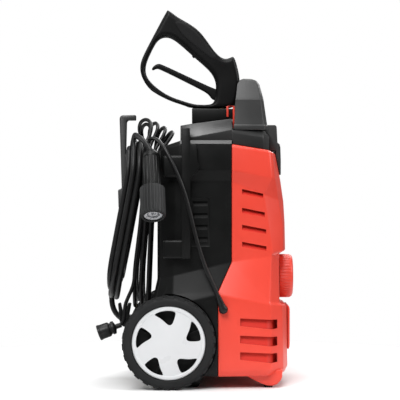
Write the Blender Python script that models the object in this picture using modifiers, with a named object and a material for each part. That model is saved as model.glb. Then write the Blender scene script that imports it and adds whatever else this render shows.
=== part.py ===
"""Upright electric pressure washer with its spray gun, hose and power cord stowed.

Metres. +X is the front, +Y the left side, +Z up. The origin is on the floor under the middle.
"""

import math

import bmesh
import bpy
from mathutils import Vector

COLLECTION = "pressure_washer"

# Housing
WALL = 0.0026
GAP = 0.0003
FLOOR_CLEARANCE = 0.0225
UPPER_SPLIT_X = 0.048
LOWER_SPLIT_X = 0.023
REAR_X = -0.088
REAR_LOW_X = -0.100
LEDGE_SLOPE = 0.234
SHELF_SLOPE = 0.31
SHELF_START_X = -0.046

# Wheels
AXLE_X = -0.066
AXLE_Z = 0.0845
WHEEL_RADIUS = 0.0845
WHEEL_INNER_Y = 0.112
WHEEL_OUTER_Y = 0.146
AXLE_RADIUS = 0.006
ARCH_RADIUS = 0.087

# Knob, motor and pump
KNOB_Z = 0.1985
KNOB_RADIUS = 0.041
KNOB_BACK_X = 0.1397
MOTOR_X = 0.025
SHAFT_RADIUS = 0.006
PISTON_RADIUS = 0.007
PISTON_CIRCLE = 0.020
PISTON_COUNT = 3

# Gun
GUN_Y = -0.055
GUN_HALF_THICKNESS = 0.016
TRIGGER_PIVOT = (0.026, GUN_Y, 0.540)
LOCK_PIVOT = (-0.0320, GUN_Y, 0.6221)
LOCK_DIRECTION = (0.739, -0.674)

# Cord and hose
CORD_RADIUS = 0.0035
HOSE_RADIUS = 0.00525


def clear_scene():
    """Remove every object of the scene that is open."""
    for obj in list(bpy.data.objects):
        bpy.data.objects.remove(obj, do_unlink=True)


def new_collection(name):
    made = bpy.data.collections.new(name)
    bpy.context.scene.collection.children.link(made)
    return made


def material(name, color, roughness, metallic=0.0):
    """A Principled material of one plain colour."""
    made = bpy.data.materials.new(name)
    made.use_nodes = True
    shader = made.node_tree.nodes["Principled BSDF"]
    shader.inputs["Base Color"].default_value = (*color, 1.0)
    shader.inputs["Roughness"].default_value = roughness
    shader.inputs["Metallic"].default_value = metallic
    return made


clear_scene()
PARTS = new_collection(COLLECTION)
CUTTERS = new_collection("cutters")

RED = material("red_plastic", (0.80, 0.06, 0.03), 0.45)
BLACK = material("black_plastic", (0.012, 0.012, 0.013), 0.5)
GREY = material("dark_grey_plastic", (0.035, 0.036, 0.038), 0.55)
WHITE = material("white_plastic", (0.85, 0.86, 0.88), 0.35)
RUBBER = material("black_rubber", (0.015, 0.015, 0.015), 0.8)
STEEL = material("steel", (0.60, 0.60, 0.62), 0.3, 1.0)
BRASS = material("brass", (0.75, 0.55, 0.25), 0.35, 1.0)
ALUMINIUM = material("cast_aluminium", (0.62, 0.63, 0.65), 0.5, 1.0)
COPPER = material("winding", (0.55, 0.22, 0.10), 0.4, 1.0)


def add_object(name, mesh, mat):
    """A named part, or a hidden cutter when there is no material."""
    obj = bpy.data.objects.new(name, mesh)
    if mat is None:
        CUTTERS.objects.link(obj)
        obj.hide_render = True
        obj.display_type = "WIRE"
    else:
        PARTS.objects.link(obj)
        obj.data.materials.append(mat)
    return obj


def mesh_from(name, bm):
    bmesh.ops.recalc_face_normals(bm, faces=bm.faces)
    mesh = bpy.data.meshes.new(name)
    bm.to_mesh(mesh)
    bm.free()
    return mesh


def box(name, low, high, mat=None, bevel=0.0):
    """A box between two corners, with rounded edges when bevel is given."""
    bm = bmesh.new()
    bmesh.ops.create_cube(bm, size=1.0)
    size = Vector(high) - Vector(low)
    centre = (Vector(high) + Vector(low)) / 2
    bmesh.ops.scale(bm, vec=size, verts=bm.verts)
    obj = add_object(name, mesh_from(name, bm), mat)
    obj.location = centre
    if bevel:
        round_edges(obj, bevel)
    return obj


def round_edges(obj, width):
    modifier = obj.modifiers.new("round", "BEVEL")
    modifier.width = width
    modifier.segments = 1
    modifier.limit_method = "ANGLE"


def point_along(obj, axis):
    """Turn the object's local Z to the given world axis."""
    obj.rotation_euler = Vector(axis).to_track_quat("Z", "Y").to_euler()


def cylinder(name, base, axis, radius, length, mat=None, segments=24):
    """A cylinder from its base centre along an axis."""
    bm = bmesh.new()
    bmesh.ops.create_cone(bm, cap_ends=True, segments=segments, radius1=radius, radius2=radius, depth=length)
    bmesh.ops.translate(bm, vec=(0, 0, length / 2), verts=bm.verts)
    obj = add_object(name, mesh_from(name, bm), mat)
    obj.location = base
    point_along(obj, axis)
    return obj


def turned(name, profile, base, axis, mat=None, steps=32):
    """A turned piece: (radius, height) pairs down its outer side, then back up its bore."""
    mesh = bpy.data.meshes.new(name)
    count = len(profile)
    bored = min(radius for radius, _ in profile) > 0
    edges = [(i, i + 1) for i in range(count - 1)]
    if bored:
        edges.append((count - 1, 0))
    mesh.from_pydata([(radius, 0, height) for radius, height in profile], edges, [])
    obj = add_object(name, mesh, mat)
    screw = obj.modifiers.new("turn", "SCREW")
    screw.steps = steps
    screw.render_steps = steps
    screw.use_merge_vertices = True
    screw.merge_threshold = 0.00001
    obj.location = base
    point_along(obj, axis)
    return obj


def ring(name, outer, inner, height, base, axis, mat, steps=32):
    profile = [(outer, height), (outer, 0), (inner, 0), (inner, height)]
    return turned(name, profile, base, axis, mat, steps)


def as_mesh(obj):
    """Replace a curve object by the mesh that it evaluates to, with its caps welded."""
    bpy.context.view_layer.update()
    graph = bpy.context.evaluated_depsgraph_get()
    mesh = bpy.data.meshes.new_from_object(obj.evaluated_get(graph))
    bm = bmesh.new()
    bm.from_mesh(mesh)
    bmesh.ops.remove_doubles(bm, verts=bm.verts, dist=0.00001)
    bm.to_mesh(mesh)
    bm.free()
    name = obj.name
    matrix = obj.matrix_world.copy()
    hidden = obj.hide_render
    home = obj.users_collection[0]
    bpy.data.objects.remove(obj, do_unlink=True)
    made = bpy.data.objects.new(name, mesh)
    home.objects.link(made)
    made.matrix_world = matrix
    made.hide_render = hidden
    return made


def side_plate(name, outlines, y_low, y_high, mat=None):
    """A flat piece with an outline in the XZ plane, between two Y positions. Inner outlines are holes."""
    curve = bpy.data.curves.new(name, "CURVE")
    curve.dimensions = "2D"
    curve.fill_mode = "BOTH"
    curve.extrude = (y_high - y_low) / 2
    for outline in outlines:
        spline = curve.splines.new("POLY")
        spline.points.add(len(outline) - 1)
        for point, (x, z) in zip(spline.points, outline):
            point.co = (x, z, 0, 1)
        spline.use_cyclic_u = True
    obj = add_object(name, curve, mat)
    obj.rotation_euler = (math.pi / 2, 0, 0)
    obj.location = (0, (y_low + y_high) / 2, 0)
    return as_mesh(obj)


def smooth_path(route, spacing):
    """Evenly spaced points on a smooth curve through the route's points."""
    points = [Vector(p) for p in route]
    padded = [2 * points[0] - points[1]] + points + [2 * points[-1] - points[-2]]
    dense = []
    for a, b, c, d in zip(padded, padded[1:], padded[2:], padded[3:]):
        for step in range(20):
            t = step / 20
            dense.append(
                0.5
                * (
                    2 * b
                    + (c - a) * t
                    + (2 * a - 5 * b + 4 * c - d) * t**2
                    + (3 * b - a - 3 * c + d) * t**3
                )
            )
    dense.append(points[-1])
    total = sum((q - p).length for p, q in zip(dense, dense[1:]))
    count = max(2, round(total / spacing))
    wanted = [total * i / count for i in range(count + 1)]
    found = [dense[0]]
    walked = 0.0
    for p, q in zip(dense, dense[1:]):
        step = (q - p).length
        while len(found) < count and walked + step >= wanted[len(found)]:
            found.append(p.lerp(q, (wanted[len(found)] - walked) / step))
        walked += step
    found.append(dense[-1])
    return found


def tube(name, route, radius, mat, spacing=None):
    """A round cord or pipe along a smooth route."""
    curve = bpy.data.curves.new(name, "CURVE")
    curve.dimensions = "3D"
    curve.bevel_depth = radius
    curve.bevel_resolution = 2
    curve.use_fill_caps = True
    path = smooth_path(route, spacing or 5 * radius)
    spline = curve.splines.new("POLY")
    spline.points.add(len(path) - 1)
    for point, place in zip(spline.points, path):
        point.co = (*place, 1)
    return add_object(name, curve, mat)


def loft(name, rows, mat=None):
    """A solid symmetric about Y = 0, from rows of (x, half width, z) points, bottom row first."""
    bm = bmesh.new()
    right = [[bm.verts.new((x, -w, z)) for x, w, z in row] for row in rows]
    left = [[bm.verts.new((x, w, z)) for x, w, z in row] for row in rows]
    last = len(rows[0]) - 1
    for low in range(len(rows) - 1):
        for side in (right, left):
            for k in range(last):
                bm.faces.new((side[low][k], side[low][k + 1], side[low + 1][k + 1], side[low + 1][k]))
        for k in (0, last):
            bm.faces.new((right[low][k], left[low][k], left[low + 1][k], right[low + 1][k]))
    for row in (0, -1):
        for k in range(last):
            bm.faces.new((right[row][k], right[row][k + 1], left[row][k + 1], left[row][k]))
    return add_object(name, mesh_from(name, bm), mat)


def combine(obj, other, operation="DIFFERENCE"):
    """Cut the other solid from this one, or join it on."""
    modifier = obj.modifiers.new(other.name, "BOOLEAN")
    modifier.operation = operation
    modifier.object = other
    return obj


# ---------------------------------------------------------------- housing shells

# height at the parting line and at the nose, parting x and half width, then (x, half width) of the
# side's end, the corner and the nose
FRONT_LEVELS = (
    (0.0225, 0.0225, 0.023, 0.128, (0.112, 0.118), (0.136, 0.092), (0.147, 0.052)),
    (0.034, 0.034, 0.023, 0.131, (0.120, 0.122), (0.143, 0.095), (0.153, 0.052)),
    (0.170, 0.147, 0.023, 0.131, (0.118, 0.121), (0.141, 0.094), (0.1514, 0.052)),
    (0.176, 0.153, 0.023, 0.1295, (0.117, 0.119), (0.136, 0.093), (0.138, 0.052)),
    (0.2295, 0.2425, 0.048, 0.112, (0.1210, 0.1025), (0.1320, 0.080), (0.138, 0.048)),
    (0.235, 0.249, 0.048, 0.112, (0.1235, 0.1020), (0.1440, 0.077), (0.1490, 0.048)),
    (0.298, 0.300, 0.048, 0.1115, (0.1160, 0.1020), (0.1425, 0.077), (0.1480, 0.048)),
    (0.376, 0.338, 0.048, 0.111, (0.1070, 0.1030), (0.1345, 0.078), (0.1458, 0.048)),
    (0.397, 0.378, 0.048, 0.118, (0.1215, 0.1070), (0.1275, 0.0985), (0.1400, 0.050)),
    (0.4385, 0.4275, 0.048, 0.118, (0.1175, 0.1055), (0.1235, 0.0970), (0.1300, 0.050)),
    (0.4435, 0.4320, 0.048, 0.115, (0.1110, 0.1030), (0.1170, 0.0930), (0.1230, 0.048)),
)


def front_rows(wall):
    """Outline rows of the front cover, moved in by the wall thickness for its inside."""
    rows = []
    for number, (z_split, z_nose, split_x, split_w, side, corner, nose) in enumerate(FRONT_LEVELS):
        z_shift = {0: wall, len(FRONT_LEVELS) - 1: -wall}.get(number, 0.0)
        start_x = split_x + GAP / 2 - (0.006 if wall else 0.0)
        slope = (z_nose - z_split) / (nose[0] - split_x)
        places = (
            (start_x, split_w - wall),
            (side[0] - wall / 2, side[1] - wall),
            (corner[0] - wall, corner[1] - wall),
            (nose[0] - wall, nose[1] - wall / 2),
        )
        rows.append([(x, w, z_split + slope * (x - split_x) + z_shift) for x, w in places])
    return rows


# heights, parting x and half width, (x, half width) of the side's end, the corner and the rear face;
# the last value says which slope the level follows
REAR_LEVELS = (
    (0.0225, 0.023, 0.128, (-0.060, 0.112), (-0.091, 0.100), (-0.097, 0.082), "level"),
    (0.034, 0.023, 0.131, (-0.060, 0.120), (-0.094, 0.106), (REAR_LOW_X, 0.088), "level"),
    (0.170, 0.023, 0.131, (-0.060, 0.122), (-0.094, 0.108), (REAR_LOW_X, 0.090), "ledge"),
    (0.176, 0.023, 0.1295, (-0.060, 0.120), (-0.093, 0.107), (-0.099, 0.090), "ledge"),
    (0.2295, 0.048, 0.112, (-0.058, 0.108), (-0.082, 0.098), (REAR_X, 0.085), "ledge"),
    (0.376, 0.048, 0.111, (-0.054, 0.107), (-0.082, 0.097), (REAR_X, 0.084), "level"),
    (0.397, 0.048, 0.118, (-0.050, 0.113), (-0.082, 0.101), (REAR_X, 0.088), "level"),
    (0.4435, 0.048, 0.118, (SHELF_START_X, 0.112), (-0.080, 0.100), (REAR_X, 0.088), "shelf"),
    (0.450, 0.048, 0.112, (SHELF_START_X, 0.107), (-0.077, 0.096), (-0.085, 0.084), "shelf"),
)


def rear_rows(wall):
    """Outline rows of the rear housing, moved in by the wall thickness for its inside."""
    rows = []
    for number, (height, split_x, split_w, side, corner, rear, follows) in enumerate(REAR_LEVELS):
        z_shift = {0: wall, len(REAR_LEVELS) - 1: -wall}.get(number, 0.0)
        start_x = split_x - GAP / 2 + (0.006 if wall else 0.0)
        places = (
            (start_x, split_w - wall),
            (side[0] + wall / 2, side[1] - wall),
            (corner[0] + wall, corner[1] - wall),
            (rear[0] + wall, rear[1] - wall / 2),
        )
        row = []
        for x, w in places:
            drop = {
                "level": 0.0,
                "ledge": LEDGE_SLOPE * (split_x - x),
                "shelf": SHELF_SLOPE * max(0.0, SHELF_START_X - x),
            }[follows]
            row.append((x, w, height - drop + z_shift))
        rows.append(row)
    return rows


VENT_REACH = 0.14
# outlines of the front cover's slots, the upper ones sloping down to the front
UPPER_VENTS = tuple(
    [(0.0670, z - 0.0095), (x, z - 0.0165), (x, z - 0.0085), (0.0670, z)]
    for x, z in ((0.1055, 0.3620), (0.1085, 0.3278), (0.1110, 0.2969), (0.1115, 0.2659))
)
LOWER_VENTS = tuple(
    [
        (0.0630, z - 0.0140), (0.1195, z - 0.0205), (0.1310, z - 0.0200), (0.1310, z - 0.0035),
        (0.1195, z - 0.0030), (0.0630, z),
    ]
    for z in (0.1280, 0.0970, 0.0670)
)
REAR_VENTS_Z = (0.334, 0.313, 0.291, 0.269)
CASE_SCREWS = ((-0.070, 0.385), (0.070, 0.385))
INLET_PLACE = (-0.0400, 0.0500)
OUTLET_PLACE = (0.0400, 0.1050)


def rear_housing():
    """Black rear shell with wheel arches, axle holes, vents and the ports' holes."""
    shell = loft("rear_housing", rear_rows(0.0), BLACK)
    inside = loft("rear_inside", rear_rows(WALL))
    for side in (-1, 1):
        arch = cylinder(
            f"wheel_arch_{side}",
            (AXLE_X, side * (WHEEL_INNER_Y - 0.003), AXLE_Z),
            (0, side, 0),
            ARCH_RADIUS,
            0.05,
            segments=48,
        )
        lining = cylinder(
            f"arch_lining_{side}",
            (AXLE_X, side * (WHEEL_INNER_Y - 0.003 - WALL), AXLE_Z),
            (0, side, 0),
            ARCH_RADIUS + 0.0017,
            0.05,
            segments=48,
        )
        combine(shell, arch)
        combine(inside, lining)
    combine(shell, inside)
    combine(shell, cylinder("axle_hole", (AXLE_X, -0.15, AXLE_Z), (0, 1, 0), AXLE_RADIUS + GAP, 0.30))
    for number, z in enumerate(REAR_VENTS_Z):
        combine(shell, box(f"rear_vent_{number}", (-0.022, -VENT_REACH, z), (0.004, VENT_REACH, z + 0.008)))
    for number, (y, z) in enumerate(CASE_SCREWS):
        combine(shell, cylinder(f"screw_hole_{number}", (-0.1, y, z), (1, 0, 0), 0.0025, 0.02, segments=12))
    for number, (y, z) in enumerate((INLET_PLACE, OUTLET_PLACE)):
        combine(shell, cylinder(f"port_hole_{number}", (-0.11, y, z), (1, 0, 0), 0.0093, 0.03))
    for side in (-1, 1):
        foot = side_plate(
            f"rear_leg_{side}",
            [[(-0.040, 0.024), (-0.033, 0.0003), (-0.015, 0.0003), (-0.003, 0.024)]],
            side * 0.084 - 0.018,
            side * 0.084 + 0.018,
        )
        combine(shell, foot, "UNION")
    return shell


FRONT_FOOT = (
    (0.0700, 0.0240), (0.1070, 0.0040), (0.1240, 0.0040), (0.1350, 0.0110), (0.1395, 0.0190), (0.1395, 0.0240)
)


def front_cover():
    """Red front shell with its vents, the knob's hole and the two moulded feet."""
    shell = loft("front_cover", front_rows(0.0), RED)
    combine(shell, loft("front_inside", front_rows(WALL)))
    for number, outline in enumerate(UPPER_VENTS + LOWER_VENTS):
        combine(shell, side_plate(f"front_vent_{number}", [outline], -VENT_REACH, VENT_REACH))
    combine(shell, cylinder("knob_hole", (0.10, 0, KNOB_Z), (1, 0, 0), 0.0075, 0.06))
    for side in (-1, 1):
        foot = side_plate(
            f"front_leg_{side}",
            [FRONT_FOOT],
            side * 0.085 - 0.017,
            side * 0.085 + 0.017,
        )
        combine(shell, foot, "UNION")
    return shell


def top_cover():
    """Dark grey lid with a sloping chamfer and a lower front half, open underneath."""
    # x, then half width and height of the rim, of the chamfer's foot and of the roof
    stations = (
        (-0.0455, 0.1040, 0.4503, 0.4520, 0.0960, 0.4780),
        (-0.0260, 0.1085, 0.4503, 0.4560, 0.1000, 0.4812),
        (0.0484, 0.1110, 0.4503, 0.4700, 0.1020, 0.4905),
        (0.0500, 0.1115, 0.4438, 0.4640, 0.1085, 0.4700),
        (0.1060, 0.1000, 0.4353, 0.4560, 0.0930, 0.4700),
        (0.1180, 0.0740, 0.4336, 0.4500, 0.0680, 0.4600),
    )

    def rows(wall):
        rim = []
        foot = []
        roof = []
        for number, (x, rim_w, rim_z, foot_z, roof_w, roof_z) in enumerate(stations):
            inset_x = {0: wall, len(stations) - 1: -wall}.get(number, 0.0)
            if wall and number in (2, 3):
                inset_x = -wall
            under = 0.004 if wall else 0.0
            rim.append((x + inset_x, rim_w - wall, rim_z - under))
            foot.append((x + inset_x, rim_w - wall, foot_z))
            roof.append((x + inset_x, roof_w - wall, roof_z - wall))
        return [rim, foot, roof]

    cover = loft("top_cover", rows(0.0), GREY)
    return combine(cover, loft("top_inside", rows(WALL)))


def carry_handle():
    """U-shaped moulded handle: two broad legs and a grip bar between them."""
    rows = [
        [(0.0520, 0.1085, 0.4703), (0.1078, 0.1000, 0.4703), (0.1150, 0.0890, 0.4703)],
        [(0.0520, 0.1085, 0.4785), (0.1078, 0.1000, 0.4785), (0.1150, 0.0890, 0.4785)],
        [(0.0528, 0.1078, 0.4792), (0.1062, 0.0995, 0.4792), (0.1136, 0.0885, 0.4792)],
        [(0.0552, 0.1072, 0.5250), (0.1010, 0.0985, 0.5250), (0.1070, 0.0880, 0.5250)],
        [(0.0562, 0.1040, 0.5310), (0.0998, 0.0955, 0.5310), (0.1058, 0.0860, 0.5310)],
        [(0.0590, 0.0900, 0.5550), (0.0960, 0.0825, 0.5550), (0.1000, 0.0735, 0.5550)],
        [(0.0690, 0.0840, 0.5650), (0.0860, 0.0790, 0.5650), (0.0880, 0.0710, 0.5650)],
    ]
    handle = loft("carry_handle", rows, GREY)
    combine(handle, box("hand_gap", (0.040, -0.082, 0.460), (0.120, 0.082, 0.536)))
    return combine(handle, box("grip_back", (0.040, -0.082, 0.530), (0.0685, 0.082, 0.580)))


def front_trim():
    """Stepped dark trim over the top of the nose."""
    outline = [
        (0.1318, 0.4345),
        (0.1314, 0.4270),
        (0.1384, 0.3890),
        (0.1411, 0.3890),
        (0.1404, 0.4400),
        (0.1388, 0.4465),
        (0.1350, 0.4490),
        (0.1335, 0.4790),
        (0.1300, 0.4820),
        (0.1190, 0.4820),
        (0.1190, 0.4345),
    ]
    return side_plate("front_trim", [outline], -0.046, 0.046, GREY)


def front_panel():
    """Blank convex panel low on the nose."""
    return box("front_panel", (0.1534, -0.046, 0.064), (0.1578, 0.046, 0.145), RED, 0.0015)


def front_foot_pads():
    for side, name in ((-1, "right"), (1, "left")):
        y = side * 0.085
        box(f"front_foot_pad_{name}", (0.1080, y - 0.015, 0.0), (0.1230, y + 0.015, 0.0037), RUBBER)


def case_screws():
    """Pan-head screws that hold the rear housing to the front cover."""
    profile = [(0.0, 0.0030), (0.0035, 0.0026), (0.0048, 0.0), (0.0022, 0.0), (0.0022, -0.018), (0.0, -0.020)]
    for (y, z), name in zip(CASE_SCREWS, ("right", "left")):
        turned(f"case_screw_{name}", profile, (REAR_X - GAP, y, z), (-1, 0, 0), STEEL, 12)


# ---------------------------------------------------------------- wheels


def hub_opening(turn):
    """One rounded shark-fin opening of the hubcap, turned about the hub."""
    rim = 0.0640
    # angle from the opening's own axis in degrees, and distance as a share of the rim radius
    corners = (
        (-25, 0.88), (-12, 0.90), (0, 0.90), (10, 0.88), (15, 0.80),
        (14, 0.62), (8, 0.50), (0, 0.52), (-12, 0.70),
    )
    outline = []
    for angle, share in corners:
        theta = math.radians(90 - angle) - turn
        outline.append((rim * share * math.cos(theta), rim * share * math.sin(theta)))
    return outline


def wheels():
    """Lugged wheels, open hubcaps and push-on retainers on a steel axle."""
    cylinder("axle", (AXLE_X, -0.138, AXLE_Z), (0, 1, 0), AXLE_RADIUS, 0.276, STEEL, 20)
    width = WHEEL_OUTER_Y - WHEEL_INNER_Y
    tread = WHEEL_RADIUS
    profile = [
        (0.0700, width),
        (tread - 0.004, width),
        (tread, width - 0.005),
        (tread, 0.005),
        (tread - 0.004, 0.0),
        (0.0680, 0.0),
        (0.0660, 0.010),
        (0.0160, 0.010),
        (0.0160, 0.0),
        (AXLE_RADIUS + 0.0001, 0.0),
        (AXLE_RADIUS + 0.0001, 0.0230),
        (0.0160, 0.0230),
        (0.0170, 0.0140),
        (0.0670, 0.0140),
        (0.0680, width - 0.001),
    ]
    cap_profile = [
        (0.0, 0.0110),
        (0.0250, 0.0105),
        (0.0560, 0.0065),
        (0.0640, 0.0035),
        (0.0660, 0.0),
        (0.0620, 0.0),
        (0.0560, 0.0030),
        (0.0250, 0.0075),
        (0.0, 0.0080),
    ]
    for side, name in ((-1, "right"), (1, "left")):
        hub = (AXLE_X, side * WHEEL_INNER_Y, AXLE_Z)
        turned(f"wheel_{name}", profile, hub, (0, side, 0), RUBBER, 36)
        cap = (AXLE_X, side * (WHEEL_OUTER_Y - 0.006), AXLE_Z)
        hubcap = turned(f"hubcap_{name}", cap_profile, cap, (0, side, 0), WHITE, 30)
        for number in range(5):
            hole = side_plate(
                f"hub_opening_{name}_{number}",
                [hub_opening(number * math.tau / 5)],
                side * 0.14 - 0.02,
                side * 0.14 + 0.02,
            )
            hole.location = (AXLE_X, side * 0.14, AXLE_Z)
            combine(hubcap, hole)
        retainer = (AXLE_X, side * 0.1355, AXLE_Z)
        ring(f"wheel_retainer_{name}", 0.0120, AXLE_RADIUS + GAP, 0.0020, retainer, (0, side, 0), STEEL, 20)


# ---------------------------------------------------------------- knob, motor and pump


def knob_and_switch():
    """Round front knob on the shaft of the rotary switch."""
    profile = [
        (0.0, 0.0253),
        (0.0340, 0.0253),
        (0.0385, 0.0235),
        (KNOB_RADIUS, 0.0190),
        (KNOB_RADIUS, 0.0),
        (0.0050, 0.0),
        (0.0050, -0.0340),
        (0.0, -0.0340),
    ]
    turned("power_knob", profile, (KNOB_BACK_X, 0, KNOB_Z), (1, 0, 0), RED, 40)
    box("power_switch", (0.088, -0.018, 0.180), (0.1053, 0.018, 0.217), BLACK, 0.001)


def star(blades, outer, inner):
    """Outline of a bladed fan, blade tips at the outer radius."""
    outline = []
    for number in range(blades):
        start = number * math.tau / blades
        for share, radius in ((0.0, inner), (0.15, outer), (0.55, outer), (0.75, inner)):
            angle = start + share * math.tau / blades
            outline.append((radius * math.cos(angle), radius * math.sin(angle)))
    return outline


def motor():
    """Upright motor: can, windings, end cap, bearings, rotor and fan."""
    up = (0, 0, 1)
    ring("motor_can", 0.0550, 0.0520, 0.1400, (MOTOR_X, 0, 0.235), up, ALUMINIUM, 32)
    ring("stator", 0.0515, 0.0325, 0.0900, (MOTOR_X, 0, 0.255), up, COPPER, 24)
    ring("motor_end_cap", 0.0550, 0.0133, 0.0090, (MOTOR_X, 0, 0.3753), up, ALUMINIUM, 32)
    ring("upper_bearing", 0.0130, SHAFT_RADIUS + GAP, 0.0070, (MOTOR_X, 0, 0.3763), up, STEEL, 24)
    ring("pump_flange", 0.0580, 0.0133, 0.0160, (MOTOR_X, 0, 0.2187), up, ALUMINIUM, 32)
    ring("lower_bearing", 0.0130, SHAFT_RADIUS + GAP, 0.0070, (MOTOR_X, 0, 0.2200), up, STEEL, 24)
    profile = [
        (0.0, 0.4050),
        (SHAFT_RADIUS, 0.4050),
        (SHAFT_RADIUS, 0.3440),
        (0.0310, 0.3440),
        (0.0310, 0.2560),
        (SHAFT_RADIUS, 0.2560),
        (SHAFT_RADIUS, 0.1800),
        (0.0, 0.1800),
    ]
    turned("rotor", profile, (MOTOR_X, 0, 0), up, STEEL, 24)
    fan = side_plate("cooling_fan", [star(9, 0.046, 0.016)], -0.006, 0.006, BLACK)
    fan.rotation_euler = (0, 0, 0)
    fan.location = (MOTOR_X, 0, 0.3960)
    combine(fan, cylinder("fan_bore", (MOTOR_X, 0, 0.38), up, SHAFT_RADIUS + GAP, 0.04))


def pump():
    """Swash-type pump under the motor: wobble plate, three pistons, body, valve and pipes."""
    up = (0, 0, 1)
    plate = cylinder("wobble_plate", (MOTOR_X, 0, 0.1780), up, 0.0300, 0.0200, ALUMINIUM, 32)
    combine(plate, cylinder("plate_bore", (MOTOR_X, 0, 0.1790), up, SHAFT_RADIUS + GAP, 0.04))
    slope = math.radians(6)
    wedge = box("plate_slope", (-0.06, -0.06, -0.04), (0.06, 0.06, 0.0))
    wedge.location = (MOTOR_X + 0.02 * math.sin(slope), 0, 0.1810 - 0.02)
    wedge.rotation_euler = (0, slope, 0)
    combine(plate, wedge)
    body = cylinder("pump_body", (MOTOR_X, 0, 0.0850), up, 0.0450, 0.0700, BRASS, 32)
    manifold = box("manifold", (MOTOR_X - 0.045, -0.038, 0.0550), (MOTOR_X + 0.045, 0.038, 0.0870))
    combine(body, manifold, "UNION")
    for number in range(PISTON_COUNT):
        angle = math.tau * (number + 0.5) / PISTON_COUNT
        x = MOTOR_X + PISTON_CIRCLE * math.cos(angle)
        y = PISTON_CIRCLE * math.sin(angle)
        combine(body, cylinder(f"piston_bore_{number}", (x, y, 0.110), up, PISTON_RADIUS + 0.00005, 0.06))
        piston = (x, y, 0.1180)
        cylinder(f"piston_{number + 1}", piston, up, PISTON_RADIUS, 0.0540, STEEL, 24)
    combine(body, cylinder("unloader", (MOTOR_X + 0.0400, 0, 0.0700), (1, 0, 0), 0.0110, 0.0350), "UNION")
    route = [
        (-0.0210, 0.020, 0.0740),
        (-0.0300, 0.021, 0.0755),
        (-0.0480, 0.034, 0.1010),
        (-0.0680, 0.040, 0.1050),
        (-0.0890, 0.040, 0.1050),
    ]
    tube("outlet_pipe", route, 0.0055, STEEL, 0.007)
    fitting = [
        (0.0, 0.0360),
        (0.0085, 0.0360),
        (0.0085, 0.0180),
        (0.0140, 0.0180),
        (0.0140, 0.0030),
        (0.0140, 0.0003),
        (0.0090, 0.0003),
        (0.0090, -0.0070),
        (0.0, -0.0070),
    ]
    y, z = OUTLET_PLACE
    turned("pump_outlet_fitting", fitting, (REAR_LOW_X, y, z), (-1, 0, 0), BRASS, 24)
    nozzle = [
        (0.0065, 0.0340),
        (0.0095, 0.0340),
        (0.0095, 0.0200),
        (0.0150, 0.0180),
        (0.0150, 0.0003),
        (0.0090, 0.0003),
        (0.0090, -0.0200),
        (0.0065, -0.0200),
    ]
    y, z = INLET_PLACE
    turned("water_inlet", nozzle, (REAR_LOW_X, y, z), (-1, 0, 0), BRASS, 24)


# ---------------------------------------------------------------- gun, holster and brackets

GUN_OUTER = (
    (-0.0683, 0.6943), (-0.0506, 0.6805), (-0.0302, 0.6694), (-0.0116, 0.6563), (0.0033, 0.6377),
    (0.0145, 0.6210), (0.0266, 0.6080), (0.0368, 0.6031), (0.0461, 0.6054), (0.0517, 0.6084),
    (0.0561, 0.6024), (0.0640, 0.5700), (0.0640, 0.5450), (0.0600, 0.5250), (0.0500, 0.5106),
    (-0.0246, 0.5120), (-0.0418, 0.5192), (-0.0642, 0.5264), (-0.0870, 0.5376), (-0.1042, 0.5490),
    (-0.1174, 0.5700), (-0.1206, 0.5894), (-0.1156, 0.6076), (-0.0940, 0.6498), (-0.0711, 0.6928),
)
GUN_LOOP = (
    (-0.0729, 0.6452), (-0.0599, 0.6415), (-0.0413, 0.6266), (-0.0209, 0.6080), (-0.0023, 0.5920),
    (0.0117, 0.5782), (0.0191, 0.5633), (0.0201, 0.5485), (0.0176, 0.5261), (0.0117, 0.5190),
    (-0.0040, 0.5185), (-0.0190, 0.5190), (-0.0413, 0.5255), (-0.0636, 0.5332), (-0.0832, 0.5447),
    (-0.1008, 0.5596), (-0.1101, 0.5745), (-0.1113, 0.5875), (-0.1083, 0.6005), (-0.0990, 0.6210),
    (-0.0906, 0.6359), (-0.0832, 0.6424),
)
TRIGGER = (
    (0.0380, 0.5430), (0.0300, 0.5455), (0.0210, 0.5470), (-0.0030, 0.5575), (-0.0815, 0.5945),
    (-0.0880, 0.5950), (-0.0950, 0.5915), (-0.1000, 0.5850),
    (-0.0970, 0.5825), (-0.0915, 0.5860), (-0.0850, 0.5855),
    (-0.0100, 0.5480), (0.0050, 0.5395), (0.0125, 0.5290), (0.0190, 0.5270), (0.0270, 0.5320),
    (0.0320, 0.5375), (0.0380, 0.5400),
)


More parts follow.
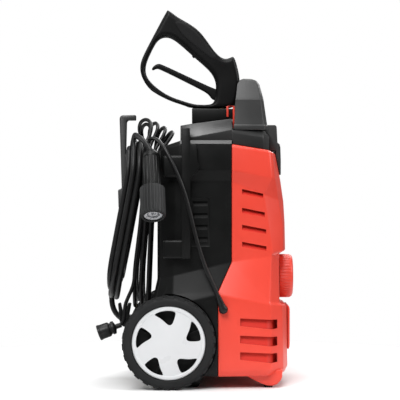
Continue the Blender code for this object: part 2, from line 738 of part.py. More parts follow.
def spray_gun():
    """Trigger gun in two mirrored casing halves, with trigger, lock, spring, pin and barrel."""
    pocket = box("trigger_pocket", (0.0120, GUN_Y - 0.0085, 0.5200), (0.0400, GUN_Y + 0.0085, 0.5760))
    pivot_x, _, pivot_z = TRIGGER_PIVOT
    pin_hole = cylinder("pin_hole", (pivot_x, GUN_Y - 0.014, pivot_z), (0, 1, 0), 0.0028, 0.028, segments=16)
    barrel_hole = cylinder("barrel_hole", (0.030, GUN_Y, 0.500), (0, 0, 1), 0.0093, 0.0175)
    lock_slot = box("lock_slot", (-0.0370, GUN_Y - 0.0055, 0.5980), (-0.0120, GUN_Y + 0.0055, 0.6275))
    grip_seat = side_plate("grip_seat", [grip_inlay_outline(0.0)], GUN_Y - 0.0200, GUN_Y - 0.0140)
    for side, name in ((-1, "right"), (1, "left")):
        low, high = sorted((GUN_Y + side * GAP / 2, GUN_Y + side * GUN_HALF_THICKNESS))
        half = side_plate(f"gun_casing_{name}", [GUN_OUTER, GUN_LOOP], low, high, GREY)
        for cutter in (pocket, pin_hole, barrel_hole, lock_slot):
            combine(half, cutter)
        if side < 0:
            combine(half, grip_seat)
    side_plate("grip_inlay", [grip_inlay_outline(0.0004)], GUN_Y - 0.0162, GUN_Y - 0.0143, RUBBER)
    lever = side_plate("trigger", [TRIGGER], GUN_Y - 0.0075, GUN_Y + 0.0075, BLACK)
    hole_start = (pivot_x, GUN_Y - 0.02, pivot_z)
    lever_hole = cylinder("lever_hole", hole_start, (0, 1, 0), 0.00265, 0.04, segments=16)
    combine(lever, lever_hole)
    cylinder("trigger_pin", (pivot_x, GUN_Y - 0.0135, pivot_z), (0, 1, 0), 0.0025, 0.0270, STEEL, 16)
    side_plate("trigger_lock", [lock_outline()], GUN_Y - 0.0045, GUN_Y + 0.0045, BLACK)
    barrel = [
        (0.0, 0.0070), (0.0088, 0.0070), (0.0088, -0.0003),
        (0.0120, -0.0003), (0.0120, -0.0180), (0.0, -0.0180),
    ]
    turned("gun_barrel", barrel, (0.030, GUN_Y, 0.5100), (0, 0, 1), BRASS, 24)


def lock_outline():
    """Small lever along the grip's inner edge, with a nub for the finger at its free end."""
    pivot_x, _, pivot_z = LOCK_PIVOT
    along_x, along_z = LOCK_DIRECTION
    corners = (
        (-0.003, 0.0022), (-0.003, -0.0022), (0.012, -0.0022),
        (0.015, -0.0050), (0.0195, -0.0050), (0.0195, 0.0022),
    )
    return [
        (pivot_x + along * along_x - out * along_z, pivot_z + along * along_z + out * along_x)
        for along, out in corners
    ]


def grip_inlay_outline(inset):
    """Long inlay on the grip, pulled in by the inset."""
    return [
        (-0.0590 + inset, 0.6690 - inset),
        (-0.0400 + inset, 0.6420 + inset),
        (-0.0100 + inset, 0.6190 + inset),
        (0.0130, 0.6010 + inset),
        (0.0205 - inset, 0.6070),
        (0.0120 - inset, 0.6170 - inset),
        (-0.0130 - inset, 0.6500 - inset),
        (-0.0300 - inset, 0.6630 - inset),
        (-0.0500, 0.6740 - inset),
    ]


def trigger_spring():
    """Compression spring that stands on the pocket's floor under the trigger's tail."""
    turns = 6
    steps = 8
    centre_x = 0.0355
    foot_z = 0.5209
    height = 0.0155
    radius = 0.0024
    route = []
    for number in range(turns * steps + 1):
        angle = math.tau * number / steps
        share = number / (turns * steps)
        route.append(
            (centre_x + radius * math.cos(angle), GUN_Y + radius * math.sin(angle), foot_z + height * share)
        )
    curve = bpy.data.curves.new("trigger_spring", "CURVE")
    curve.dimensions = "3D"
    curve.bevel_depth = 0.00035
    curve.bevel_resolution = 0
    curve.use_fill_caps = True
    spline = curve.splines.new("POLY")
    spline.points.add(len(route) - 1)
    for point, place in zip(spline.points, route):
        point.co = (*place, 1)
    add_object("trigger_spring", curve, STEEL)


def gun_holster():
    """Socket block on the lid that the gun's barrel stands in, with its red clip."""
    outline = [
        (-0.0246, 0.4822), (0.0470, 0.4912), (0.0500, 0.4925),
        (0.0560, 0.4925), (0.0560, 0.5100), (-0.0246, 0.5100),
    ]
    holster = side_plate("gun_holster", [outline], GUN_Y - 0.022, GUN_Y + 0.022, BLACK)
    combine(holster, cylinder("holster_bore", (0.030, GUN_Y, 0.4910), (0, 0, 1), 0.0130, 0.03))
    clip = (
        (0.0390, 0.5150), (0.0390, 0.4950), (0.0430, 0.4950), (0.0430, 0.5125), (0.0506, 0.5125),
        (0.0506, 0.4740), (0.0540, 0.4740), (0.0540, 0.5150),
    )
    side_plate(
        "holster_clip",
        [clip],
        GUN_Y - 0.0265,
        GUN_Y - 0.0223,
        RED,
    )


def side_bracket():
    """Upright accessory holder on the right side, standing on two arms."""
    outline = [
        (-0.0430, 0.4720), (-0.0280, 0.4720), (-0.0270, 0.4430), (-0.0150, 0.4420), (-0.0150, 0.4150),
        (-0.0110, 0.4020), (-0.0170, 0.3920), (-0.0270, 0.3800), (-0.0270, 0.2360), (-0.0430, 0.2360),
    ]
    bracket = side_plate("side_bracket", [outline], -0.1290, -0.1190, BLACK)
    combine(bracket, box("bracket_arm_low", (-0.0770, -0.1250, 0.2350), (-0.0350, -0.1105, 0.2700)), "UNION")
    combine(bracket, box("bracket_arm_high", (-0.0770, -0.1250, 0.4000), (-0.0350, -0.1150, 0.4230)), "UNION")


def hooks():
    """Upper L-shaped winding hook and lower forked cradle on the back."""
    upper = [
        (REAR_X - GAP, 0.4280), (REAR_X - GAP, 0.4050), (-0.1480, 0.4050),
        (-0.1455, 0.3000), (-0.1530, 0.3000),
        (-0.1560, 0.3250), (-0.1640, 0.3270), (-0.1650, 0.3610), (-0.1580, 0.3640), (-0.1620, 0.4950),
        (-0.1590, 0.5020), (-0.1310, 0.5030), (-0.1310, 0.4930), (-0.1490, 0.4920), (-0.1500, 0.4280),
    ]
    side_plate("upper_hook", [upper], -0.010, 0.010, BLACK)
    lower = [
        (REAR_LOW_X - GAP, 0.1240), (REAR_LOW_X - GAP, 0.1020), (-0.1560, 0.1020), (-0.1620, 0.1130),
        (-0.1650, 0.1460), (-0.1600, 0.1470), (-0.1540, 0.1230), (-0.1460, 0.1470), (-0.1400, 0.1460),
        (-0.1440, 0.1240),
    ]
    side_plate("lower_hook", [lower], -0.010, 0.010, BLACK)


# ---------------------------------------------------------------- power cord and hose


def stowed_ring(name, outer_half, radial, low, high, stations, mat):
    """A stowed winding: a long closed loop round the hooks, seen from behind as a stadium.

    stations are (z, rear x, front x), from top to bottom, and give the winding's depth at each height.
    """
    middle = outer_half - radial / 2
    top_arc = high - outer_half
    low_arc = low + outer_half
    path = []
    for step in range(9):
        angle = math.pi * step / 8
        across, up = math.cos(angle), math.sin(angle)
        path.append((middle * across, top_arc + middle * up, across, up))
    for share in (0.33, 0.67):
        path.append((-middle, top_arc + (low_arc - top_arc) * share, -1.0, 0.0))
    for step in range(9):
        angle = math.pi + math.pi * step / 8
        across, up = math.cos(angle), math.sin(angle)
        path.append((middle * across, low_arc + middle * up, across, up))
    for share in (0.67, 0.33):
        path.append((middle, top_arc + (low_arc - top_arc) * share, 1.0, 0.0))

    def depth(z):
        for (z_up, rear_up, front_up), (z_down, rear_down, front_down) in zip(stations, stations[1:]):
            if z >= z_down:
                share = min(1.0, (z_up - z) / (z_up - z_down))
                return rear_up + (rear_down - rear_up) * share, front_up + (front_down - front_up) * share
        return stations[-1][1:]

    bm = bmesh.new()
    sections = []
    for y, z, out_y, out_z in path:
        rear, front = depth(z)
        half = radial / 2
        inner = (y - half * out_y, z - half * out_z)
        outer = (y + half * out_y, z + half * out_z)
        corners = ((rear, *inner), (front, *inner), (front, *outer), (rear, *outer))
        sections.append([bm.verts.new(corner) for corner in corners])
    for one, other in zip(sections, sections[1:] + sections[:1]):
        for k in range(4):
            bm.faces.new((one[k], one[(k + 1) % 4], other[(k + 1) % 4], other[k]))
    return add_object(name, mesh_from(name, bm), mat)


# (z, rear x, front x)
HOSE_STATIONS = (
    (0.459, -0.1485, -0.1200),
    (0.395, -0.1485, -0.1200),
    (0.300, -0.1665, -0.1350),
    (0.215, -0.1825, -0.1510),
    (0.151, -0.1900, -0.1585),
)
CORD_STATIONS = (
    (0.500, -0.1305, -0.0560),
    (0.489, -0.1300, -0.0570),
    (0.478, -0.1240, -0.0580),
    (0.464, -0.1165, -0.0600),
    (0.442, -0.1165, -0.0930),
    (0.395, -0.1165, -0.0930),
    (0.300, -0.1240, -0.0975),
    (0.211, -0.1350, -0.1010),
    (0.126, -0.1360, -0.1040),
)
CORD_LEAD = (
    (0.0270, -0.1390, 0.1560), (0.0155, -0.1390, 0.1870), (-0.0007, -0.1385, 0.2230),
    (-0.0169, -0.1380, 0.2753), (-0.0277, -0.1375, 0.3204), (-0.0403, -0.1370, 0.3636),
    (-0.0580, -0.1345, 0.4060), (-0.0760, -0.1225, 0.4390), (-0.0930, -0.0960, 0.4560),
    (-0.1020, -0.0790, 0.4560),
)
CORD_TAIL = (
    (-0.1515, -0.0572, 0.1440), (-0.1500, -0.0590, 0.1320), (-0.1480, -0.0600, 0.1220),
    (-0.1490, -0.0600, 0.1145), (-0.1548, -0.0600, 0.1108),
)
HOSE_START = (
    (-0.1369, 0.0400, 0.1050), (-0.1450, 0.0400, 0.1055), (-0.1560, 0.0403, 0.1085),
    (-0.1710, 0.0420, 0.1205), (-0.1805, 0.0460, 0.1400), (-0.1830, 0.0500, 0.1620),
)
HOSE_END = (
    (-0.1320, -0.0180, 0.4646), (-0.1290, -0.0450, 0.4625), (-0.1225, -0.0680, 0.4580),
    (-0.1125, -0.0850, 0.4505), (-0.1025, -0.0960, 0.4395), (-0.0992, -0.1010, 0.4330),
)


COUPLING_TOP = (-0.0988, -0.1022, 0.4308)
COUPLING_AXIS = Vector((0.0060, -0.0680, -0.1182)).normalized()


def along_coupling(distance):
    """A point on the hanging coupling's axis, measured from the end of the hose."""
    return Vector(COUPLING_TOP) + COUPLING_AXIS * distance


def power_cord():
    """Boot at the parting line, lead, winding, tail and moulded plug."""
    boot = [
        (0.0, 0.0130), (0.0052, 0.0125), (0.0078, 0.0090), (0.0083, 0.0060), (0.0078, 0.0030), (0.0060, 0.0),
        (0.0, 0.0),
    ]
    turned("cord_boot", boot, (0.0323, -0.1309, 0.1450), (0, -1, 0), RUBBER, 20)
    tube("cord_lead", CORD_LEAD, CORD_RADIUS, RUBBER, 0.018)
    stowed_ring("cord_winding", 0.058, 0.014, 0.126, 0.500, CORD_STATIONS, RUBBER)
    tube("cord_tail", CORD_TAIL, CORD_RADIUS, RUBBER, 0.008)
    tilt = math.radians(20)
    axis = Vector((-math.cos(tilt), 0, -math.sin(tilt)))
    plug = [
        (0.0, 0.0450), (0.0125, 0.0450), (0.0145, 0.0430), (0.0142, 0.0250), (0.0125, 0.0200),
        (0.0125, 0.0135), (0.0058, 0.0115), (0.0048, 0.0), (0.0, 0.0),
    ]
    turned("power_plug", plug, (-0.1556, -0.0600, 0.1105), axis, RUBBER, 20)


def pressure_hose():
    """Hose from the pump outlet, its winding, and the end with the screw coupling."""
    ring("hose_inlet_nut", 0.0155, 0.0088, 0.0178, (-0.1187, 0.0400, 0.1050), (-1, 0, 0), RUBBER, 24)
    tube("hose_start", HOSE_START, HOSE_RADIUS, RUBBER, 0.013)
    stowed_ring("hose_winding", 0.064, 0.026, 0.151, 0.459, HOSE_STATIONS, RUBBER)
    tube("hose_end", HOSE_END, HOSE_RADIUS, RUBBER, 0.016)
    sleeve = [
        (0.0, 0.0), (0.0110, 0.0), (0.0155, 0.0050), (0.0160, 0.0100), (0.0160, 0.0790), (0.0, 0.0790),
    ]
    turned("coupling_sleeve", sleeve[::-1], COUPLING_TOP, COUPLING_AXIS, RUBBER, 24)
    collar_base = along_coupling(0.0793)
    ring("coupling_collar", 0.0228, 0.0173, 0.0580, collar_base, COUPLING_AXIS, BLACK, 32)
    nut = [
        (0.0170, 0.0550), (0.0170, 0.0), (0.0036, 0.0), (0.0036, 0.0530), (0.0092, 0.0530), (0.0092, 0.0040),
        (0.0112, 0.0040), (0.0112, 0.0550),
    ]
    turned("coupling_nut", nut, collar_base, COUPLING_AXIS, STEEL, 32)


rear_housing()
front_cover()
top_cover()
carry_handle()
front_trim()
front_panel()
front_foot_pads()
case_screws()
wheels()
knob_and_switch()
motor()
pump()
spray_gun()
trigger_spring()
gun_holster()
side_bracket()
hooks()
power_cord()
pressure_hose()
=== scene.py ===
"""Upright electric pressure washer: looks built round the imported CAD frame.

Metres. +X is the front, +Y the left side, +Z up.
"""

import math

import bmesh
import bpy
from mathutils import Matrix, Vector


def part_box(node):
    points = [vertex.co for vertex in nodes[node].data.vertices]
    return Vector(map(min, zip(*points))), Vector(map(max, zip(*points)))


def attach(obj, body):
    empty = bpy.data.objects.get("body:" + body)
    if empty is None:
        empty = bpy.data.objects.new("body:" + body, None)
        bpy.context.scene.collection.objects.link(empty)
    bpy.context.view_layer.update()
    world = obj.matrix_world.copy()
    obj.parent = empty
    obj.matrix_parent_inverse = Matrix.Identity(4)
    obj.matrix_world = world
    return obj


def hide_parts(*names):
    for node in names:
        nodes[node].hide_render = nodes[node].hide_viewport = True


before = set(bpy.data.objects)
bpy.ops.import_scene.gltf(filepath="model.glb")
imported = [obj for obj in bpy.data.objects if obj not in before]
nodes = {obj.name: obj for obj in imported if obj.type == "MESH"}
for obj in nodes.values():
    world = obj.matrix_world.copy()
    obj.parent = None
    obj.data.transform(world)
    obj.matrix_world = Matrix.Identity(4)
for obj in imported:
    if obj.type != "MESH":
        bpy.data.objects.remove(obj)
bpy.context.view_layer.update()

# ---------------------------------------------------------------- camera, floor and light


FLOOR_RADIUS = 0.72
SURROUNDINGS = 0.22  # strength of the white surroundings where they only light the object
CAMERA_PLACE = (-0.0097, -2.6, 0.342)
CAMERA_TARGET = (-0.0097, 0.0, 0.342)
LENS_MM = 123.2
SENSOR_MM = 36.0
LAMP_TARGET = (0, 0, 0.30)
# name, place, size and watts of each lamp
LAMPS = (
    ("key", (-0.7, -2.25, 2.35), (1.8, 1.2), 84),
    ("front", (2.4, -0.7, 1.5), (1.2, 1.2), 30),
    ("back", (0.9, 2.5, 1.9), (1.8, 1.4), 36),
    ("rear", (-2.4, 0.6, 1.6), (1.4, 1.4), 14),
    ("top", (0.0, 0.0, 2.7), (2.0, 2.0), 62),
)


def aim(obj, target):
    """Turn a camera or lamp towards a point."""
    direction = Vector(target) - obj.location
    obj.rotation_mode = "QUATERNION"
    obj.rotation_quaternion = direction.to_track_quat("-Z", "Y")


def make_camera():
    data = bpy.data.cameras.new("camera")
    data.lens = LENS_MM
    data.sensor_width = SENSOR_MM
    camera = bpy.data.objects.new("camera", data)
    camera.location = CAMERA_PLACE
    bpy.context.scene.collection.objects.link(camera)
    aim(camera, CAMERA_TARGET)
    bpy.context.scene.camera = camera


def area_light(name, place, size, watts):
    data = bpy.data.lights.new(name, "AREA")
    data.shape = "RECTANGLE"
    data.size, data.size_y = size
    data.energy = watts
    lamp = bpy.data.objects.new(name, data)
    lamp.location = place
    bpy.context.scene.collection.objects.link(lamp)
    aim(lamp, LAMP_TARGET)


def make_studio():
    """A pale round floor, white surroundings and five soft lamps."""
    bm = bmesh.new()
    bmesh.ops.create_circle(bm, cap_ends=True, radius=FLOOR_RADIUS, segments=96)
    mesh = bpy.data.meshes.new("studio_floor")
    bm.to_mesh(mesh)
    bm.free()
    floor = bpy.data.objects.new("studio_floor", mesh)
    bpy.context.scene.collection.objects.link(floor)
    paint, shader, tree = blank_material("studio_paper")
    shader.inputs["Roughness"].default_value = 0.9
    shader.inputs["Specular IOR Level"].default_value = 0.1
    grain = noise(tree, scale=3.0, detail=2.0)
    mix_colours(tree, grain, (0.73, 0.73, 0.73), (0.76, 0.76, 0.76), shader.inputs["Base Color"])
    mesh.materials.append(paint)

    world = bpy.data.worlds.new("studio")
    world.use_nodes = True
    links = world.node_tree.links
    world_nodes = world.node_tree.nodes
    background = world_nodes["Background"]
    background.inputs["Color"].default_value = (1.0, 1.0, 1.0, 1.0)
    backdrop = world_nodes.new("ShaderNodeLightPath")
    strength = world_nodes.new("ShaderNodeMapRange")
    strength.inputs["To Min"].default_value = SURROUNDINGS
    strength.inputs["To Max"].default_value = 1.0
    links.new(backdrop.outputs["Is Camera Ray"], strength.inputs["Value"])
    links.new(strength.outputs["Result"], background.inputs["Strength"])
    bpy.context.scene.world = world
    bpy.context.scene.view_settings.view_transform = "Standard"

    for lamp in LAMPS:
        area_light(*lamp)


# ---------------------------------------------------------------- materials


def blank_material(name):
    made = bpy.data.materials.new(name)
    made.use_nodes = True
    tree = made.node_tree
    return made, tree.nodes["Principled BSDF"], tree


def coordinates(tree):
    """Object coordinates, in metres."""
    found = [n for n in tree.nodes if n.type == "TEX_COORD"]
    node = found[0] if found else tree.nodes.new("ShaderNodeTexCoord")
    return node.outputs["Object"]


def noise(tree, scale, detail=2.0, roughness=0.5, distortion=0.0, stretch=None):
    node = tree.nodes.new("ShaderNodeTexNoise")
    node.inputs["Scale"].default_value = scale
    node.inputs["Detail"].default_value = detail
    node.inputs["Roughness"].default_value = roughness
    node.inputs["Distortion"].default_value = distortion
    source = coordinates(tree)
    if stretch:
        mapping = tree.nodes.new("ShaderNodeMapping")
        mapping.inputs["Scale"].default_value = stretch
        tree.links.new(source, mapping.inputs["Vector"])
        source = mapping.outputs["Vector"]
    tree.links.new(source, node.inputs["Vector"])
    return node.outputs["Fac"]


def ramp(tree, value, low, high, out_low=0.0, out_high=1.0):
    node = tree.nodes.new("ShaderNodeMapRange")
    node.inputs["From Min"].default_value = low
    node.inputs["From Max"].default_value = high
    node.inputs["To Min"].default_value = out_low
    node.inputs["To Max"].default_value = out_high
    tree.links.new(value, node.inputs["Value"])
    return node.outputs["Result"]


def mix_colours(tree, value, first, second, target=None):
    node = tree.nodes.new("ShaderNodeMix")
    node.data_type = "RGBA"
    tree.links.new(value, node.inputs["Factor"])
    for socket, colour in (("A", first), ("B", second)):
        side = [s for s in node.inputs if s.name == socket and s.type == "RGBA"][0]
        if isinstance(colour, tuple):
            side.default_value = (*colour, 1.0)
        else:
            tree.links.new(colour, side)
    out = [s for s in node.outputs if s.type == "RGBA"][0]
    if target is not None:
        tree.links.new(out, target)
    return out


def bump(tree, height, strength, distance, shader):
    node = tree.nodes.new("ShaderNodeBump")
    node.inputs["Strength"].default_value = strength
    node.inputs["Distance"].default_value = distance
    tree.links.new(height, node.inputs["Height"])
    tree.links.new(node.outputs["Normal"], shader.inputs["Normal"])


def plastic(name, dark, light, rough, grain_scale, grain_depth, scuff=None, specular=0.5):
    """Moulded plastic: spark-eroded grain, uneven gloss, slow colour drift and pale scuffs on worn spots."""
    made, shader, tree = blank_material(name)
    shader.inputs["Specular IOR Level"].default_value = specular
    drift = ramp(tree, noise(tree, 9.0, 3.0), 0.35, 0.65)
    colour = mix_colours(tree, drift, dark, light)
    if scuff:
        marks = noise(tree, 55.0, 5.0, 0.62, stretch=(1.0, 1.0, 3.2))
        worn = ramp(tree, marks, 0.66, 0.78)
        colour = mix_colours(tree, worn, colour, scuff)
    tree.links.new(colour, shader.inputs["Base Color"])
    gloss = ramp(tree, noise(tree, 26.0, 4.0), 0.3, 0.7, rough[0], rough[1])
    tree.links.new(gloss, shader.inputs["Roughness"])
    fine = noise(tree, grain_scale, 3.0, 0.6)
    bump(tree, fine, 0.55, grain_depth, shader)
    return made


def metal(name, dark, light, rough, stretch=(1.0, 1.0, 1.0), scale=240.0, depth=0.00003):
    """Machined, plated or cast metal: tool marks that run one way, stains and uneven gloss."""
    made, shader, tree = blank_material(name)
    shader.inputs["Metallic"].default_value = 1.0
    stain = ramp(tree, noise(tree, 45.0, 4.0), 0.35, 0.7)
    mix_colours(tree, stain, light, dark, shader.inputs["Base Color"])
    marks = noise(tree, scale, 4.0, 0.6, stretch=stretch)
    tree.links.new(ramp(tree, marks, 0.3, 0.7, rough[0], rough[1]), shader.inputs["Roughness"])
    bump(tree, marks, 0.5, depth, shader)
    return made


def copper_winding():
    """Enamelled wire laid in close turns."""
    made, shader, tree = blank_material("enamelled_wire")
    shader.inputs["Metallic"].default_value = 1.0
    wave = tree.nodes.new("ShaderNodeTexWave")
    wave.bands_direction = "Z"
    wave.inputs["Scale"].default_value = 260.0
    wave.inputs["Distortion"].default_value = 0.6
    tree.links.new(coordinates(tree), wave.inputs["Vector"])
    turns = wave.outputs["Fac"]
    mix_colours(tree, turns, (0.25, 0.08, 0.03), (0.62, 0.27, 0.12), shader.inputs["Base Color"])
    tree.links.new(ramp(tree, turns, 0.0, 1.0, 0.5, 0.28), shader.inputs["Roughness"])
    bump(tree, turns, 0.7, 0.0002, shader)
    return made


# look, name, dark and light colour, roughness range, grain scale and depth, scuff colour, specular level
PLASTICS = (
    ("red", "red_housing_plastic", (0.690, 0.048, 0.026), (0.740, 0.055, 0.031), (0.34, 0.42),
     900.0, 0.00008, None, 0.50),
    # A darker copy of the red housing plastic: painted shade for the vent blades and for the plates behind
    # the vents.
    ("red_dark", "red_grille_plastic", (0.560, 0.022, 0.014), (0.620, 0.030, 0.018), (0.40, 0.52),
     900.0, 0.00008, None, 0.30),
    ("black", "black_housing_plastic", (0.0022, 0.0024, 0.0023), (0.0034, 0.0036, 0.0035), (0.34, 0.44),
     820.0, 0.00012, (0.0070, 0.0072, 0.0072), 0.21),
    ("grey", "grey_lid_plastic", (0.0095, 0.0097, 0.0097), (0.0135, 0.0137, 0.0137), (0.33, 0.42),
     820.0, 0.00012, (0.0220, 0.0225, 0.0225), 0.60),
    ("handle", "grey_handle_plastic", (0.0150, 0.0152, 0.0152), (0.0210, 0.0213, 0.0213), (0.36, 0.46),
     820.0, 0.00012, (0.0300, 0.0305, 0.0305), 0.70),
    ("gun", "gun_plastic", (0.0026, 0.0026, 0.0027), (0.0040, 0.0040, 0.0041), (0.34, 0.44),
     760.0, 0.00014, (0.0080, 0.0080, 0.0082), 0.16),
    ("soft_grip", "soft_grip_rubber", (0.0040, 0.0040, 0.0042), (0.0060, 0.0060, 0.0062), (0.54, 0.68),
     1300.0, 0.00016, None, 0.18),
    ("white", "white_hubcap_plastic", (0.590, 0.600, 0.611), (0.635, 0.644, 0.655), (0.26, 0.38),
     900.0, 0.00005, (0.60, 0.61, 0.62), 0.5),
    ("rubber", "screw_collar_plastic", (0.0165, 0.0170, 0.0174), (0.0235, 0.0240, 0.0244), (0.60, 0.78),
     620.0, 0.00020, (0.036, 0.0355, 0.034), 0.25),
    ("tyre", "tyre_rubber", (0.0082, 0.0084, 0.0087), (0.0122, 0.0125, 0.0128), (0.58, 0.76),
     620.0, 0.00020, (0.026, 0.0255, 0.0245), 0.25),
    ("cord", "cord_jacket", (0.0048, 0.0048, 0.0050), (0.0072, 0.0072, 0.0074), (0.32, 0.44),
     700.0, 0.00008, (0.0125, 0.0125, 0.0125), 0.30),
    ("hose", "hose_jacket", (0.0050, 0.0050, 0.0052), (0.0078, 0.0078, 0.0080), (0.34, 0.46),
     520.0, 0.00012, (0.0130, 0.0130, 0.0130), 0.30),
    ("zinc", "zinc_plate", (0.42, 0.43, 0.45), (0.52, 0.53, 0.55), (0.24, 0.34),
     700.0, 0.00004, (0.60, 0.61, 0.63), 0.90),
)


def make_materials():
    looks = {look: plastic(*row) for look, *row in PLASTICS}
    looks["steel"] = metal(
        "plated_steel", (0.42, 0.42, 0.44), (0.72, 0.72, 0.74), (0.20, 0.38), (6.0, 6.0, 1.0)
    )
    looks["brass"] = metal("brass", (0.42, 0.26, 0.09), (0.78, 0.56, 0.26), (0.24, 0.42), (1.0, 1.0, 5.0))
    looks["aluminium"] = metal(
        "cast_aluminium", (0.42, 0.43, 0.44), (0.66, 0.67, 0.68), (0.42, 0.62), scale=420.0, depth=0.00015
    )
    looks["winding"] = copper_winding()
    return looks


CAD_LOOKS = {
    "red": ("front_cover", "front_panel", "holster_clip", "power_knob"),
    "black": (
        "rear_housing", "power_switch", "gun_holster", "side_bracket", "upper_hook", "lower_hook",
        "cooling_fan", "trigger", "trigger_lock", "coupling_collar",
    ),
    "grey": ("top_cover", "carry_handle", "front_trim"),
    "gun": ("gun_casing_left", "gun_casing_right"),
    "soft_grip": ("grip_inlay",),
    "white": ("hubcap_left", "hubcap_right"),
    "rubber": (
        "wheel_left", "wheel_right", "front_foot_pad_left", "front_foot_pad_right", "coupling_sleeve",
        "hose_inlet_nut",
    ),
    "cord": ("cord_boot", "cord_lead", "cord_winding", "cord_tail", "power_plug"),
    "hose": ("hose_start", "hose_winding", "hose_end"),
    "steel": (
        "case_screw_left", "case_screw_right", "axle", "wheel_retainer_left", "wheel_retainer_right",
        "upper_bearing", "lower_bearing", "rotor", "piston_1", "piston_2", "piston_3", "trigger_pin",
        "trigger_spring", "outlet_pipe", "coupling_nut",
    ),
    "brass": ("pump_body", "pump_outlet_fitting", "water_inlet", "gun_barrel"),
    "aluminium": ("motor_can", "motor_end_cap", "pump_flange", "wobble_plate"),
    "winding": ("stator",),
}


def paint_cad_nodes():
    for look, names in CAD_LOOKS.items():
        for name in names:
            obj = nodes[name]
            obj.data.materials.clear()
            obj.data.materials.append(LOOKS[look])


make_camera()
make_studio()
LOOKS = make_materials()
paint_cad_nodes()

# ---------------------------------------------------------------- mesh helpers


def scratch(name, mesh):
    obj = bpy.data.objects.new(name, mesh)
    bpy.context.scene.collection.objects.link(obj)
    return obj


def from_bmesh(name, bm):
    bmesh.ops.recalc_face_normals(bm, faces=bm.faces)
    mesh = bpy.data.meshes.new(name)
    bm.to_mesh(mesh)
    bm.free()
    return scratch(name, mesh)


def evaluated(obj):
    """The object's mesh with its modifiers applied, in the shared frame. It and its cutters are removed."""
    bpy.context.view_layer.update()
    graph = bpy.context.evaluated_depsgraph_get()
    mesh = bpy.data.meshes.new_from_object(obj.evaluated_get(graph))
    mesh.transform(obj.matrix_world)
    others = [m.object for m in obj.modifiers if m.type == "BOOLEAN"]
    for other in others:
        bpy.data.objects.remove(other, do_unlink=True)
    bpy.data.objects.remove(obj, do_unlink=True)
    return mesh


def baked(obj):
    """The same object with its modifiers made part of its mesh."""
    name = obj.name
    return scratch(name, evaluated(obj))


def loft(name, rows):
    """A solid symmetric about Y = 0, from rows of (x, half width, z) points, bottom row first."""
    bm = bmesh.new()
    right = [[bm.verts.new((x, -w, z)) for x, w, z in row] for row in rows]
    left = [[bm.verts.new((x, w, z)) for x, w, z in row] for row in rows]
    last = len(rows[0]) - 1
    for low in range(len(rows) - 1):
        for side in (right, left):
            for k in range(last):
                bm.faces.new((side[low][k], side[low][k + 1], side[low + 1][k + 1], side[low + 1][k]))
        for k in (0, last):
            bm.faces.new((right[low][k], left[low][k], left[low + 1][k], right[low + 1][k]))
    for row in (0, -1):
        for k in range(last):
            bm.faces.new((right[row][k], right[row][k + 1], left[row][k + 1], left[row][k]))
    return from_bmesh(name, bm)


def prism(name, outlines, y_low, y_high):
    """A flat piece with an outline in the XZ plane between two Y positions. Inner outlines are holes."""
    curve = bpy.data.curves.new(name, "CURVE")
    curve.dimensions = "2D"
    curve.fill_mode = "BOTH"
    curve.extrude = (y_high - y_low) / 2
    for outline in outlines:
        spline = curve.splines.new("POLY")
        spline.points.add(len(outline) - 1)
        for point, (x, z) in zip(spline.points, outline):
            point.co = (x, z, 0, 1)
        spline.use_cyclic_u = True
    obj = scratch(name, curve)
    obj.rotation_euler = (math.pi / 2, 0, 0)
    obj.location = (0, (y_low + y_high) / 2, 0)
    mesh = evaluated(obj)
    bm = bmesh.new()
    bm.from_mesh(mesh)
    bmesh.ops.remove_doubles(bm, verts=bm.verts, dist=0.00001)
    bmesh.ops.dissolve_limit(bm, angle_limit=0.001, verts=bm.verts, edges=bm.edges)
    return from_bmesh(name, bm)


def block(name, low, high):
    bm = bmesh.new()
    bmesh.ops.create_cube(bm, size=1.0)
    size = Vector(high) - Vector(low)
    bmesh.ops.scale(bm, vec=size, verts=bm.verts)
    bmesh.ops.translate(bm, vec=(Vector(high) + Vector(low)) / 2, verts=bm.verts)
    return from_bmesh(name, bm)


def turned_matrix(base, axis):
    return Matrix.Translation(base) @ Vector(axis).to_track_quat("Z", "Y").to_matrix().to_4x4()


def lathe(name, profile, base, axis, steps=48):
    """A turned solid from (radius, height) points. A profile that never meets the axis makes a ring."""
    bm = bmesh.new()
    rings = []
    for radius, height in profile:
        if radius < 1e-7:
            rings.append([bm.verts.new((0, 0, height))])
        else:
            rings.append(ring(bm, height, [radius] * steps))
    pairs = list(zip(rings, rings[1:]))
    if len(rings[0]) > 1 and len(rings[-1]) > 1:
        pairs.append((rings[-1], rings[0]))
    for one, other in pairs:
        for i in range(steps):
            following = (i + 1) % steps
            corners = [one[i % len(one)], one[following % len(one)]]
            corners += [other[following % len(other)], other[i % len(other)]]
            unique = list(dict.fromkeys(corners))
            if len(unique) > 2:
                bm.faces.new(unique)
    bmesh.ops.transform(bm, matrix=turned_matrix(base, axis), verts=bm.verts)
    return from_bmesh(name, bm)


def cylinder(name, radius, length, base, axis, steps=48):
    return lathe(name, [(0.0, 0.0), (radius, 0.0), (radius, length), (0.0, length)], base, axis, steps)


def ring(bm, height, radii):
    """Vertices round the Z axis at a height, one for each radius."""
    steps = len(radii)
    return [
        bm.verts.new(
            (radius * math.cos(math.tau * i / steps), radius * math.sin(math.tau * i / steps), height)
        )
        for i, radius in enumerate(radii)
    ]


def skin(bm, loops, capped=True):
    """Faces between loops of vertices. The ends get caps, or else the last loop joins the first."""
    following = loops[1:] if capped else loops[1:] + loops[:1]
    count = len(loops[0])
    for one, other in zip(loops, following):
        for i in range(count):
            j = (i + 1) % count
            bm.faces.new((one[i], one[j], other[j], other[i]))
    if capped:
        bm.faces.new(loops[0])
        bm.faces.new(loops[-1])


